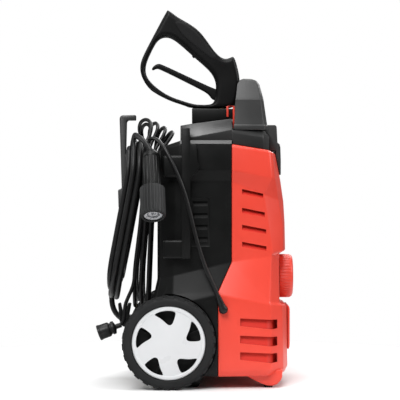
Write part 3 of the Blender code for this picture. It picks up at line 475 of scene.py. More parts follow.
def rounded(obj, width, segments=3, angle=20.0):
    """Round the edges that are sharper than the angle."""
    modifier = obj.modifiers.new("round", "BEVEL")
    modifier.width = width
    modifier.segments = segments
    modifier.limit_method = "ANGLE"
    modifier.angle_limit = math.radians(angle)
    modifier.miter_outer = "MITER_ARC"
    return obj


def boolean(obj, others, operation="DIFFERENCE"):
    for other in others if isinstance(others, list) else [others]:
        modifier = obj.modifiers.new(other.name, "BOOLEAN")
        modifier.operation = operation
        modifier.object = other
        modifier.solver = "EXACT"
        other.hide_render = True
    return obj


def piece(name, source, look, body, replaced=(), smooth=38.0):
    """Finish a visible piece: material, the body it rides on and the CAD nodes it stands for."""
    mesh = evaluated(source)
    mesh.materials.clear()
    mesh.materials.append(LOOKS[look])
    for polygon in mesh.polygons:
        polygon.use_smooth = True
        polygon.material_index = 0
    mesh.set_sharp_from_angle(angle=math.radians(smooth))
    obj = scratch(name, mesh)
    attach(obj, body)
    if replaced:
        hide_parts(*replaced)
    return obj


def fluted_ring(name, base, axis, outer, inner, height, flutes, depth):
    """A ring with a fluted outside and softened ends."""
    steps = flutes * 4
    rows = [(0.0, outer - 0.0012, 0.0), (0.0010, outer, 1.0), (height - 0.0010, outer, 1.0)]
    rows += [(height, outer - 0.0012, 0.0), (height, inner, 0.0), (0.0, inner, 0.0)]
    bm = bmesh.new()
    loops = []
    for level, radius, share in rows:
        loops.append(ring(bm, level, [radius - depth * share * (i % 4 in (2, 3)) for i in range(steps)]))
    skin(bm, loops, capped=False)
    bmesh.ops.transform(bm, matrix=turned_matrix(base, axis), verts=bm.verts)
    return from_bmesh(name, bm)


def joined(name, sources):
    """Several scratch objects as one."""
    bm = bmesh.new()
    for source in sources:
        mesh = evaluated(source)
        bm.from_mesh(mesh)
    mesh = bpy.data.meshes.new(name)
    bm.to_mesh(mesh)
    bm.free()
    return scratch(name, mesh)


def smooth_outline(corners, rounds=2):
    """Cut the corners of a closed outline (Chaikin), for a rounded shape."""
    for _ in range(rounds):
        made = []
        for (ax, az), (bx, bz) in zip(corners, corners[1:] + corners[:1]):
            made.append((0.75 * ax + 0.25 * bx, 0.75 * az + 0.25 * bz))
            made.append((0.25 * ax + 0.75 * bx, 0.25 * az + 0.75 * bz))
        corners = made
    return corners


def distance_to_outlines(x, z, outlines):
    best = 1.0
    for outline in outlines:
        for (ax, az), (bx, bz) in zip(outline, outline[1:] + outline[:1]):
            dx, dz = bx - ax, bz - az
            share = ((x - ax) * dx + (z - az) * dz) / max(dx * dx + dz * dz, 1e-12)
            share = min(1.0, max(0.0, share))
            best = min(best, math.hypot(x - ax - share * dx, z - az - share * dz))
    return best


def pillow(name, outlines, centre_y, half, edge, radius, voxel):
    """A flat piece whose faces swell from a thin edge to the full thickness within the radius."""
    obj = prism(name, outlines, -half, half)
    remesh = obj.modifiers.new("voxels", "REMESH")
    remesh.mode = "VOXEL"
    remesh.voxel_size = voxel
    mesh = evaluated(obj)
    for vertex in mesh.vertices:
        x, y, z = vertex.co
        deep = min(1.0, distance_to_outlines(x, z, outlines) / radius)
        swell = edge + (1 - edge) * math.sqrt(max(0.0, 1 - (1 - deep) ** 2))
        vertex.co.y = y * swell
    bm = bmesh.new()
    bm.from_mesh(mesh)
    for _ in range(2):
        bmesh.ops.smooth_vert(
            bm, verts=bm.verts, factor=0.5, use_axis_x=True, use_axis_y=True, use_axis_z=True
        )
    bmesh.ops.translate(bm, vec=(0, centre_y, 0), verts=bm.verts)
    return from_bmesh(name, bm)


# ---------------------------------------------------------------- cords

CORD_DIAMETER = 0.007
HOSE_DIAMETER = 0.0105

# (z, rear x, front x) of the two windings
HOSE_STATIONS = (
    (0.459, -0.1485, -0.1170),
    (0.395, -0.1485, -0.1170),
    (0.300, -0.1665, -0.1350),
    (0.215, -0.1825, -0.1510),
    (0.151, -0.1900, -0.1585),
)
CORD_STATIONS = (
    (0.500, -0.1305, -0.0560),
    (0.489, -0.1300, -0.0570),
    (0.478, -0.1240, -0.0580),
    (0.464, -0.1165, -0.0600),
    (0.442, -0.1165, -0.0930),
    (0.395, -0.1165, -0.0930),
    (0.300, -0.1240, -0.0975),
    (0.211, -0.1350, -0.1010),
    (0.126, -0.1360, -0.1040),
)
BOOT_CENTRE = (0.0323, -0.1374, 0.1450)
BOOT_DIRECTION = (-0.371, -0.035, 0.928)
CORD_LEAD = (
    (0.0305, -0.1376, 0.1495), (0.0155, -0.1390, 0.1870), (-0.0007, -0.1385, 0.2230),
    (-0.0169, -0.1380, 0.2753), (-0.0277, -0.1375, 0.3204), (-0.0403, -0.1370, 0.3636),
    (-0.0580, -0.1345, 0.4060), (-0.0760, -0.1225, 0.4390), (-0.0930, -0.0960, 0.4560),
    (-0.1050, -0.0740, 0.4520), (-0.1085, -0.0600, 0.4330),
)
CORD_TAIL = (
    (-0.1515, -0.0572, 0.1440), (-0.1500, -0.0590, 0.1320), (-0.1480, -0.0600, 0.1220),
    (-0.1490, -0.0600, 0.1145), (-0.1560, -0.0600, 0.1103),
)
HOSE_START = (
    (-0.1300, 0.0400, 0.1050), (-0.1400, 0.0400, 0.1052), (-0.1560, 0.0403, 0.1085),
    (-0.1710, 0.0420, 0.1205), (-0.1805, 0.0460, 0.1400),
)
HOSE_END = (
    (-0.1320, -0.0180, 0.4646), (-0.1290, -0.0450, 0.4625), (-0.1225, -0.0680, 0.4580),
    (-0.1125, -0.0850, 0.4505), (-0.1025, -0.0960, 0.4395), (-0.0980, -0.1030, 0.4270),
)


def spaced(route, per_span=16):
    """Dense points on a smooth curve through the route's points."""
    points = [Vector(p) for p in route]
    padded = [2 * points[0] - points[1]] + points + [2 * points[-1] - points[-2]]
    dense = []
    for a, b, c, d in zip(padded, padded[1:], padded[2:], padded[3:]):
        for step in range(per_span):
            t = step / per_span
            dense.append(
                0.5
                * (
                    2 * b
                    + (c - a) * t
                    + (2 * a - 5 * b + 4 * c - d) * t**2
                    + (3 * b - a - 3 * c + d) * t**3
                )
            )
    dense.append(points[-1])
    return dense


def evenly(points, spacing):
    """The same line with its points at even distances."""
    total = line_length(points)
    count = max(2, round(total / spacing))
    wanted = [total * i / count for i in range(count + 1)]
    found = [points[0]]
    walked = 0.0
    for p, q in zip(points, points[1:]):
        step = (q - p).length
        while len(found) < count and step > 0 and walked + step >= wanted[len(found)]:
            found.append(p.lerp(q, (wanted[len(found)] - walked) / step))
        walked += step
    found.append(points[-1])
    return found


def relaxed(points, rounds):
    """The line with small kinks smoothed away, its ends held."""
    for _ in range(rounds):
        middle = [(a + 2 * b + c) / 4 for a, b, c in zip(points, points[1:], points[2:])]
        points = [points[0]] + middle + [points[-1]]
    return points


def line_length(points):
    return sum((q - p).length for p, q in zip(points, points[1:]))


def depth_at(stations, z):
    """Rear and front x of a winding at a height."""
    for (z_up, rear_up, front_up), (z_down, rear_down, front_down) in zip(stations, stations[1:]):
        if z >= z_down:
            share = min(1.0, max(0.0, (z_up - z) / (z_up - z_down)))
            return rear_up + (rear_down - rear_up) * share, front_up + (front_down - front_up) * share
    return stations[-1][1:]


def wind(passes, tops, lows, stations, radius, first_z, last_z):
    """Points of a winding round the hooks.

    passes: ("down" on the right or "up" on the left, half width, share of the depth from the rear).
    tops: (height, x of its middle or None to stay over the legs, swing in x) of each arch at the top.
    lows: the height of each bend at the bottom.
    """
    found = []

    def depth(z, across):
        rear, front = depth_at(stations, z)
        return rear + radius + (front - rear - 2 * radius) * across

    z_now = first_z
    arch = 0
    bend = 0
    for number, (way, half, across) in enumerate(passes):
        last = number == len(passes) - 1
        side = -1 if way == "down" else 1
        if last:
            z_end = last_z
        elif way == "down":
            z_end = lows[bend] + half
        else:
            z_end = tops[arch][0] - half
        count = max(2, round(abs(z_end - z_now) / 0.012))
        for step in range(count + last):
            z = z_now + (z_end - z_now) * step / count
            found.append(Vector((depth(z, across), side * half, z)))
        if last:
            break
        half_next, across_next = passes[number + 1][1:]
        for step in range(17):
            share = step / 17
            angle = math.pi * share
            width = half + (half_next - half) * share
            shift = across + (across_next - across) * (0.5 - 0.5 * math.cos(angle))
            if way == "down":
                z = lows[bend] + width - width * math.sin(angle)
                found.append(Vector((depth(z, shift), -width * math.cos(angle), z)))
            else:
                top, middle, swing = tops[arch]
                over = math.sin(angle)
                z = top - width + width * over
                x = depth(min(z, HOOKED_Z), shift)
                if middle is not None:
                    x += (middle - x) * over + swing * math.sin(2 * angle)
                found.append(Vector((x, width * math.cos(angle), z)))
        if way == "down":
            z_now = lows[bend] + half_next
            bend += 1
        else:
            z_now = tops[arch][0] - half_next
            arch += 1
    return found


def cord_curve(name, points, diameter, look, replaced):
    curve = bpy.data.curves.new(name, "CURVE")
    curve.dimensions = "3D"
    curve.bevel_depth = diameter / 2
    curve.bevel_resolution = 3
    curve.use_fill_caps = True
    spline = curve.splines.new("POLY")
    spline.points.add(len(points) - 1)
    for point, place in zip(spline.points, points):
        point.co = (*place, 1)
    spline.use_smooth = True
    curve.materials.append(LOOKS[look])
    obj = scratch(name, curve)
    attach(obj, "chassis")
    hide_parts(*replaced)
    return obj


HOOKED_Z = 0.442  # the legs of the windings keep their places up to here


def make_power_cord():
    outer, inner = 0.0545, 0.0475
    radius = CORD_DIAMETER / 2
    passes = [
        ("down", outer, 0.45), ("up", outer, 0.97), ("down", outer, 0.97), ("up", inner, 0.97),
        ("down", inner, 0.97), ("up", inner, 0.48), ("down", inner, 0.48), ("up", inner, 0.0),
        ("down", inner, 0.0), ("up", outer, 0.0), ("down", outer, 0.0),
    ]
    tops = [
        (0.4720, -0.0625, -0.0065), (0.4805, -0.0780, -0.0075), (0.4890, -0.0950, -0.0095),
        (0.4870, -0.1120, -0.0110), (0.4955, -0.1140, -0.0140),
    ]
    lows = [0.1295, 0.1375, 0.1445, 0.1520, 0.1400]
    winding = wind(passes, tops, lows, CORD_STATIONS, radius, 0.412, 0.185)
    points = spaced(CORD_LEAD) + winding + spaced(CORD_TAIL)
    points = relaxed(evenly(points, 0.006), 6)
    points = evenly(points, 0.006)
    cord = cord_curve(
        "power_cord", points, CORD_DIAMETER, "cord", ("cord_lead", "cord_winding", "cord_tail")
    )
    plug = make_plug()
    boot = make_boot()


def make_boot():
    """Ball-shaped strain relief with a tapered, ribbed tail along the cord."""
    ball = [
        (0.0, 0.0130), (0.0034, 0.0127), (0.0060, 0.0112), (0.0078, 0.0088), (0.0083, 0.0062),
        (0.0080, 0.0038), (0.0070, 0.0015), (0.0060, 0.0), (0.0, 0.0),
    ]
    tail = [(0.0, 0.0), (0.0066, 0.0), (0.0066, 0.0060)]
    for number in range(5):
        height = 0.0070 + 0.0042 * number
        radius = 0.0064 - 0.00042 * number
        tail += [(radius, height), (radius, height + 0.0024), (radius - 0.0010, height + 0.0028)]
        tail += [(radius - 0.0010, height + 0.0040)]
    tail += [(0.0042, 0.0285), (0.0036, 0.0290), (0.0, 0.0290)]
    parts = [
        lathe("ball", ball, (0.0323, -0.1309, 0.1450), (0, -1, 0), 28),
        lathe("tail", tail, BOOT_CENTRE, BOOT_DIRECTION, 24),
    ]
    boot = joined("boot", parts)
    return piece("cord_strain_relief", boot, "cord", "chassis", ("cord_boot",))


def make_plug():
    """Moulded plug: ribbed neck, waist flange and tapered body with a raised rim."""
    tilt = math.radians(20)
    axis = Vector((-math.cos(tilt), 0, -math.sin(tilt)))
    base = Vector((-0.1556, -0.0600, 0.1105))
    neck = [(0.0, 0.0)]
    for number in range(4):
        neck += [(0.0049, 0.0002 + 0.0025 * number), (0.0049, 0.0014 + 0.0025 * number)]
        neck += [(0.0041, 0.0017 + 0.0025 * number), (0.0041, 0.0024 + 0.0025 * number)]
    neck += [(0.0056, 0.0112), (0.0116, 0.0132), (0.0124, 0.0144), (0.0124, 0.0182), (0.0104, 0.0196)]
    neck += [(0.0104, 0.0212), (0.0126, 0.0230), (0.0136, 0.0250), (0.0138, 0.0400), (0.0145, 0.0408)]
    neck += [(0.0145, 0.0442), (0.0138, 0.0450), (0.0124, 0.0450), (0.0120, 0.0440), (0.0, 0.0440)]
    return piece(
        "mains_plug", lathe("plug", neck, base, axis, 32), "cord", "chassis", ("power_plug",)
    )


COUPLING_TOP = Vector((-0.0988, -0.1022, 0.4308))
COUPLING_AXIS = Vector((0.0060, -0.0680, -0.1182)).normalized()


def make_hose():
    outer, inner = 0.05875, 0.0475
    radius = HOSE_DIAMETER / 2
    passes = [
        ("up", inner, 0.0), ("down", inner, 0.0), ("up", inner, 0.5), ("down", inner, 0.5),
        ("up", inner, 1.0), ("down", inner, 1.0), ("up", outer, 1.0), ("down", outer, 1.0),
        ("up", outer, 0.48), ("down", outer, 0.48), ("up", outer, 0.0),
    ]
    tops = [(0.4420, None, 0), (0.4425, None, 0), (0.4420, None, 0), (0.4535, None, 0), (0.4535, None, 0)]
    lows = [0.1715, 0.1830, 0.1950, 0.1565, 0.1600]
    winding = wind(passes, tops, lows, HOSE_STATIONS, radius, 0.215, 0.400)
    last = [
        (-0.1430, 0.0560, 0.4080), (-0.1420, 0.0500, 0.4310), (-0.1390, 0.0370, 0.4500),
        (-0.1350, 0.0130, 0.4625),
    ]
    route = spaced(list(HOSE_START) + [winding[0]]) + winding + spaced(last + list(HOSE_END))
    points = relaxed(evenly(route, 0.008), 5)
    points = evenly(points, 0.008)
    hose = cord_curve(
        "pressure_hose", points, HOSE_DIAMETER, "hose",
        ("hose_start", "hose_winding", "hose_end"),
    )
    fittings = make_coupling()


def make_coupling():
    """Fluted sleeve, fluted screw collar and its bright nut on the end of the hose."""
    sleeve = [
        (0.0, 0.0), (0.0082, 0.0), (0.0094, 0.0010), (0.0102, 0.0040), (0.0136, 0.0062), (0.0155, 0.0100),
        (0.0158, 0.0150), (0.0152, 0.0160), (0.0152, 0.0780), (0.0145, 0.0790), (0.0, 0.0790),
    ]
    sleeve = lathe("sleeve", sleeve, COUPLING_TOP, COUPLING_AXIS, 40)
    start = COUPLING_TOP + COUPLING_AXIS * 0.0165
    grip = fluted_ring("grip", start, COUPLING_AXIS, 0.0163, 0.0149, 0.0610, 20, 0.0010)
    base = COUPLING_TOP + COUPLING_AXIS * 0.0793
    flutes = 22
    bm = bmesh.new()
    heights = ((0.0, 0.0), (0.0, 0.6), (0.0012, 1.0), (0.0520, 1.0), (0.0560, 0.75), (0.0580, 0.2))
    steps = flutes * 6
    rows = []
    for height, share in heights:
        radii = []
        for i in range(steps):
            phase = (i % 6) / 6
            ridge = 1.0 if phase < 0.5 else (0.0 if 0.66 <= phase < 0.9 else 0.45)
            radii.append(0.0206 + 0.0022 * ridge * min(1.0, share * 1.2) - 0.0012 * (1 - share))
        rows.append(ring(bm, height, radii))
    for height, radius in ((0.0580, 0.0180), (0.0574, 0.0173), (0.0, 0.0173)):
        rows.append(ring(bm, height, [radius] * steps))
    skin(bm, rows, capped=False)
    bmesh.ops.remove_doubles(bm, verts=bm.verts, dist=0.000001)
    bmesh.ops.transform(bm, matrix=turned_matrix(base, COUPLING_AXIS), verts=bm.verts)
    collar = from_bmesh("collar", bm)
    nut = [
        (0.0170, 0.0), (0.0170, 0.0540), (0.0160, 0.0550), (0.0122, 0.0550), (0.0112, 0.0540),
        (0.0112, 0.0060), (0.0092, 0.0060), (0.0092, 0.0505), (0.0082, 0.0520), (0.0044, 0.0520),
        (0.0034, 0.0505), (0.0034, 0.0),
    ]
    return [
        piece(
            "hose_sleeve", joined("sleeve_all", [sleeve, grip]), "black", "chassis",
            ("coupling_sleeve",),
        ),
        piece("screw_collar", collar, "rubber", "chassis", ("coupling_collar",), 50.0),
        piece(
            "bright_nut", lathe("nut", nut, base, COUPLING_AXIS), "zinc", "chassis",
            ("coupling_nut",),
        ),
    ]


make_power_cord()
make_hose()

# ---------------------------------------------------------------- housing

WALL = 0.0026
GAP = 0.0003
REAR_X = -0.088
REAR_LOW_X = -0.100
LEDGE_SLOPE = 0.234
SHELF_SLOPE = 0.31
SHELF_START_X = -0.046
AXLE_X = -0.066
AXLE_Z = 0.0845
WHEEL_RADIUS = 0.0845
WHEEL_INNER_Y = 0.112
WHEEL_OUTER_Y = 0.146
ARCH_RADIUS = 0.087
KNOB_BACK_X = 0.1397
KNOB_Z = 0.1985
KNOB_FLUTE = 0.0009
LUGS = 26
WEB_RIBS = 8
HUB_OPENINGS = 5

# height at the parting line and at the nose, parting x and half width, then (x, half width) of the
# side's end, the corner and the nose
FRONT_LEVELS = (
    (0.0225, 0.0225, 0.023, 0.128, (0.112, 0.118), (0.136, 0.092), (0.147, 0.052)),
    (0.034, 0.034, 0.023, 0.131, (0.120, 0.122), (0.143, 0.095), (0.153, 0.052)),
    (0.170, 0.147, 0.023, 0.131, (0.118, 0.121), (0.141, 0.094), (0.1514, 0.052)),
    (0.176, 0.153, 0.023, 0.1295, (0.117, 0.119), (0.136, 0.093), (0.138, 0.052)),
    (0.2295, 0.2425, 0.048, 0.112, (0.1210, 0.1025), (0.1320, 0.080), (0.138, 0.048)),
    (0.235, 0.249, 0.048, 0.112, (0.1235, 0.1020), (0.1440, 0.077), (0.1490, 0.048)),
    (0.298, 0.300, 0.048, 0.1115, (0.1160, 0.1020), (0.1425, 0.077), (0.1480, 0.048)),
    (0.376, 0.338, 0.048, 0.111, (0.1070, 0.1030), (0.1345, 0.078), (0.1458, 0.048)),
    (0.397, 0.378, 0.048, 0.118, (0.1215, 0.1070), (0.1275, 0.0985), (0.1400, 0.050)),
    (0.4385, 0.4275, 0.048, 0.118, (0.1175, 0.1055), (0.1235, 0.0970), (0.1300, 0.050)),
    (0.4435, 0.4320, 0.048, 0.115, (0.1110, 0.1030), (0.1170, 0.0930), (0.1230, 0.048)),
)


def front_rows(wall):
    """Outline rows of the front cover, moved in by the wall thickness for its inside."""
    rows = []
    for number, (z_split, z_nose, split_x, split_w, side, corner, nose) in enumerate(FRONT_LEVELS):
        z_shift = {0: wall, len(FRONT_LEVELS) - 1: -wall}.get(number, 0.0)
        start_x = split_x + GAP / 2 - (0.006 if wall else 0.0)
        slope = (z_nose - z_split) / (nose[0] - split_x)
        places = (
            (start_x, split_w - wall),
            (side[0] - wall / 2, side[1] - wall),
            (corner[0] - wall, corner[1] - wall),
            (nose[0] - wall, nose[1] - wall / 2),
        )
        rows.append([(x, w, z_split + slope * (x - split_x) + z_shift) for x, w in places])
    return rows


# heights, parting x and half width, (x, half width) of the side's end, the corner and the rear face;
# the last value says which slope the level follows
REAR_LEVELS = (
    (0.0225, 0.023, 0.128, (-0.060, 0.112), (-0.091, 0.100), (-0.097, 0.082), "level"),
    (0.034, 0.023, 0.131, (-0.060, 0.120), (-0.094, 0.106), (REAR_LOW_X, 0.088), "level"),
    (0.170, 0.023, 0.131, (-0.060, 0.122), (-0.094, 0.108), (REAR_LOW_X, 0.090), "ledge"),
    (0.176, 0.023, 0.1295, (-0.060, 0.120), (-0.093, 0.107), (-0.099, 0.090), "ledge"),
    (0.2295, 0.048, 0.112, (-0.058, 0.108), (-0.082, 0.098), (REAR_X, 0.085), "ledge"),
    (0.376, 0.048, 0.111, (-0.054, 0.107), (-0.082, 0.097), (REAR_X, 0.084), "level"),
    (0.397, 0.048, 0.118, (-0.050, 0.113), (-0.082, 0.101), (REAR_X, 0.088), "level"),
    (0.4435, 0.048, 0.118, (SHELF_START_X, 0.112), (-0.080, 0.100), (REAR_X, 0.088), "shelf"),
    (0.450, 0.048, 0.112, (SHELF_START_X, 0.107), (-0.077, 0.096), (-0.085, 0.084), "shelf"),
)


def rear_rows(wall):
    """Outline rows of the rear housing, moved in by the wall thickness for its inside."""
    rows = []
    for number, (height, split_x, split_w, side, corner, rear, follows) in enumerate(REAR_LEVELS):
        z_shift = {0: wall, len(REAR_LEVELS) - 1: -wall}.get(number, 0.0)
        start_x = split_x - GAP / 2 + (0.006 if wall else 0.0)
        places = (
            (start_x, split_w - wall),
            (side[0] + wall / 2, side[1] - wall),
            (corner[0] + wall, corner[1] - wall),
            (rear[0] + wall, rear[1] - wall / 2),
        )
        row = []
        for x, w in places:
            drop = {
                "level": 0.0,
                "ledge": LEDGE_SLOPE * (split_x - x),
                "shelf": SHELF_SLOPE * max(0.0, SHELF_START_X - x),
            }[follows]
            row.append((x, w, height - drop + z_shift))
        rows.append(row)
    return rows


def side_width(rows, x, z):
    """Half width of a lofted side at a place on it."""
    found = []
    for row in rows:
        for (xa, wa, za), (xb, wb, zb) in zip(row, row[1:]):
            low_x, high_x = sorted((xa, xb))
            if low_x <= x <= high_x:
                share = (x - xa) / (xb - xa)
                found.append((za + (zb - za) * share, wa + (wb - wa) * share))
                break
    for (za, wa), (zb, wb) in zip(found, found[1:]):
        if za <= z <= zb:
            return wa + (wb - wa) * (z - za) / (zb - za)
    return found[-1][1]


# places along the vent: x, height of its top edge and of its bottom edge
UPPER_VENTS = tuple(
    ((0.0670, z, z - 0.0095), (x, z - 0.0085, z - 0.0165))
    for x, z in ((0.1055, 0.3620), (0.1085, 0.3278), (0.1110, 0.2969), (0.1115, 0.2659))
)
LOWER_VENTS = tuple(
    ((0.0630, z, z - 0.0140), (0.1195, z - 0.0030, z - 0.0205), (0.1310, z - 0.0035, z - 0.0200))
    for z in (0.1280, 0.0970, 0.0670)
)
REAR_VENTS = tuple(
    ((-0.0225, z + 0.0045, z - 0.0045), (0.0040, z + 0.0045, z - 0.0045))
    for z in (0.3350, 0.3135, 0.2920, 0.2700)
)


def vent_cutters(vents):
    made = []
    for vent in vents:
        outline = [(x, low) for x, _, low in vent] + [(x, top) for x, top, _ in reversed(vent)]
        for side in (-1, 1):
            y_low, y_high = sorted((side * 0.060, side * 0.140))
            made.append(prism("vent", [outline], y_low, y_high))
    return made


def vent_edges(vent, x):
    """Heights of a vent's top and bottom edge at a place along it."""
    for (xa, top_a, low_a), (xb, top_b, low_b) in zip(vent, vent[1:]):
        if x <= xb:
            break
    share = min(1.0, max(0.0, (x - xa) / (xb - xa)))
    return top_a + (top_b - top_a) * share, low_a + (low_b - low_a) * share


def louvres(vents, rows, deep, lip, bend_x=1.0, sink=0.0):
    """Sloping blades behind the vents: deep behind the top edge, near the surface at the bottom edge.

    From bend_x on the blade curves inwards, by sink at its front end.
    """
    made = []
    for vent in vents:
        first_x = vent[0][0] - 0.0015
        last_x = vent[-1][0] + 0.0015
        for side in (-1, 1):
            bm = bmesh.new()
            loops = []
            for step in range(15):
                x = first_x + (last_x - first_x) * step / 14
                top, bottom = vent_edges(vent, x)
                top += 0.0015
                bottom -= 0.0012
                drop = sink * max(0.0, (x - bend_x) / (last_x - bend_x)) ** 1.3 if sink else 0.0
                w_top = side_width(rows, x, top) - drop
                w_low = side_width(rows, x, bottom) - drop
                middle = bottom + (top - bottom) * 0.45
                w_mid = side_width(rows, x, middle) - drop
                section = (
                    (w_low - lip, bottom), (w_mid - lip - (deep - lip) * 0.62, middle), (w_top - deep, top),
                    (w_top - deep - 0.0015, top), (w_mid - deep - 0.0010, middle - 0.0010),
                    (w_low - WALL - 0.0020 - lip, bottom),
                )
                loops.append([bm.verts.new((x, side * w, z)) for w, z in section])
            skin(bm, loops)
            made.append(from_bmesh("louvre", bm))
    return made


def make_front_cover():
    shell = rounded(loft("front_shell", front_rows(0.0)), 0.0022, 3, 9.0)
    cutters = [loft("front_inside", front_rows(WALL))]
    cutters += vent_cutters(UPPER_VENTS) + vent_cutters(LOWER_VENTS)
    cutters.append(cylinder("knob_hole", 0.0075, 0.06, (0.10, 0, KNOB_Z), (1, 0, 0)))
    boolean(shell, cutters)
    feet = []
    for side in (-1, 1):
        outline = [
            (0.0700, 0.0240), (0.1000, 0.0085), (0.1100, 0.0045), (0.1220, 0.0034), (0.1300, 0.0060),
            (0.1365, 0.0120), (0.1400, 0.0190), (0.1410, 0.0330), (0.0700, 0.0330),
        ]
        foot = prism("foot", [outline], side * 0.085 - 0.024, side * 0.085 + 0.024)
        feet.append(rounded(foot, 0.0030, 3, 30.0))
    boolean(shell, [baked(f) for f in feet], "UNION")
    piece("front_shell", shell, "red", "chassis", ("front_cover",))
    rows = front_rows(0.0)
    blades = louvres(UPPER_VENTS, rows, 0.0085, 0.0004)
    blades += louvres(LOWER_VENTS, rows, 0.0075, 0.0032, 0.1110, 0.016)
    # The blades take the darker red: painted shade inside the vents.
    piece("front_louvres", joined("blades", blades), "red_dark", "chassis", smooth=25.0)
    # Plates in the darker red behind the vents stand for the shade inside the shell: painted shade, not a
    # real part.
    walls = []
    for side in (-1, 1):
        low_y, high_y = sorted((side * 0.0880, side * 0.0900))
        walls.append(block("shade_baffle", (0.060, low_y, 0.040), (0.1355, high_y, 0.1400)))
        walls.append(block("shade_baffle", (0.058, low_y, 0.2420), (0.1180, high_y, 0.3700)))
    shade_baffle = rounded(joined("shade_baffles", walls), 0.0005, 1)
    piece("vent_shade_baffles", shade_baffle, "red_dark", "chassis")


def make_rear_housing():
    shell = rounded(loft("rear_shell", rear_rows(0.0)), 0.0022, 3, 9.0)
    inside = loft("rear_inside", rear_rows(WALL))
    for side in (-1, 1):
        start = side * (WHEEL_INNER_Y - 0.003)
        boolean(shell, cylinder("arch", ARCH_RADIUS, 0.05, (AXLE_X, start, AXLE_Z), (0, side, 0), 96))
        lining = (AXLE_X, start - side * WALL, AXLE_Z)
        boolean(inside, cylinder("lining", ARCH_RADIUS + 0.0017, 0.05, lining, (0, side, 0), 96))
    cutters = [baked(inside)]
    cutters.append(cylinder("axle_hole", 0.0063, 0.3, (AXLE_X, -0.15, AXLE_Z), (0, 1, 0), 24))
    cutters += vent_cutters(REAR_VENTS)
    for side in (-1, 1):
        w = side_width(rear_rows(0.0), -0.010, 0.302)
        low_y, high_y = sorted((side * (w - 0.0012), side * (w + 0.01)))
        outline = [(-0.0270, 0.2570), (0.0085, 0.2570), (0.0085, 0.3460), (-0.0270, 0.3460)]
        recess = rounded(prism("recess", [outline], low_y, high_y), 0.0012, 2, 60.0)
        cutters.append(baked(recess))
    for y, z in ((-0.070, 0.385), (0.070, 0.385)):
        cutters.append(cylinder("screw_hole", 0.0025, 0.02, (-0.1, y, z), (1, 0, 0), 16))
    for y, z in ((-0.0400, 0.0500), (0.0400, 0.1050)):
        cutters.append(cylinder("port_hole", 0.0093, 0.03, (-0.11, y, z), (1, 0, 0), 32))
    boolean(shell, cutters)
    legs = []
    for side in (-1, 1):
        outline = [
            (-0.0420, 0.0300), (-0.0345, 0.0010), (-0.0325, 0.0003), (-0.0155, 0.0003), (-0.0135, 0.0010),
            (0.0020, 0.0300),
        ]
        leg = rounded(prism("leg", [outline], side * 0.084 - 0.018, side * 0.084 + 0.018), 0.0018, 2, 30.0)
        legs.append(baked(leg))
    boolean(shell, legs, "UNION")
    piece("rear_shell", shell, "black", "chassis", ("rear_housing",))
    rows = rear_rows(0.0)
    blades = joined("blades", louvres(REAR_VENTS, rows, 0.0064, 0.0048))
    piece("rear_louvres", blades, "black", "chassis", smooth=25.0)


def make_top_cover():
    """Grey lid: sloping chamfer over the rear half, lower front half."""
    # x, half width and height of the rim, height of the chamfer's foot, half width and height of the roof
    stations = (
        (-0.0455, 0.1040, 0.4503, 0.4520, 0.0960, 0.4780),
        (-0.0260, 0.1085, 0.4503, 0.4560, 0.1000, 0.4812),
        (0.0484, 0.1110, 0.4503, 0.4700, 0.1020, 0.4905),
        (0.0500, 0.1115, 0.4438, 0.4640, 0.1085, 0.4700),
        (0.1060, 0.1000, 0.4353, 0.4560, 0.0930, 0.4700),
        (0.1180, 0.0740, 0.4336, 0.4500, 0.0680, 0.4600),
    )

    def rows(wall):
        rim, foot, roof = [], [], []
        for number, (x, rim_w, rim_z, foot_z, roof_w, roof_z) in enumerate(stations):
            inset_x = {0: wall, len(stations) - 1: -wall}.get(number, 0.0)
            if wall and number in (2, 3):
                inset_x = -wall
            under = 0.004 if wall else 0.0
            rim.append((x + inset_x, rim_w - wall, rim_z - under))
            foot.append((x + inset_x, rim_w - wall, foot_z))
            roof.append((x + inset_x, roof_w - wall, roof_z - wall))
        return [rim, foot, roof]

    cover = rounded(loft("lid", rows(0.0)), 0.0011, 2, 12.0)
    boolean(cover, loft("lid_inside", rows(WALL)))
    piece("lid", cover, "grey", "chassis", ("top_cover",))


def make_handle():
    """Two broad moulded legs with a rounded grip bar between them."""
    rows = [
        [(0.0520, 0.1085, 0.4703), (0.1078, 0.1000, 0.4703), (0.1150, 0.0890, 0.4703)],
        [(0.0520, 0.1085, 0.4785), (0.1078, 0.1000, 0.4785), (0.1150, 0.0890, 0.4785)],
        [(0.0528, 0.1078, 0.4792), (0.1062, 0.0995, 0.4792), (0.1136, 0.0885, 0.4792)],
        [(0.0552, 0.1072, 0.5250), (0.1010, 0.0985, 0.5250), (0.1070, 0.0880, 0.5250)],
        [(0.0562, 0.1040, 0.5310), (0.0998, 0.0955, 0.5310), (0.1058, 0.0860, 0.5310)],
        [(0.0590, 0.0900, 0.5550), (0.0960, 0.0825, 0.5550), (0.1000, 0.0735, 0.5550)],
        [(0.0635, 0.0865, 0.5625), (0.0920, 0.0800, 0.5625), (0.0950, 0.0715, 0.5625)],
        [(0.0700, 0.0840, 0.5650), (0.0850, 0.0785, 0.5650), (0.0870, 0.0705, 0.5650)],
    ]
    handle = rounded(loft("handle", rows), 0.0030, 3, 14.0)
    gap = rounded(block("hand_gap", (0.030, -0.082, 0.440), (0.130, 0.082, 0.536)), 0.012, 5, 60.0)
    back = block("grip_back", (0.030, -0.082, 0.525), (0.0685, 0.082, 0.590))
    boolean(handle, [baked(gap), back])
    handle = baked(handle)
    rounded(handle, 0.0016, 2, 45.0)
    piece("handle", handle, "handle", "chassis", ("carry_handle",))


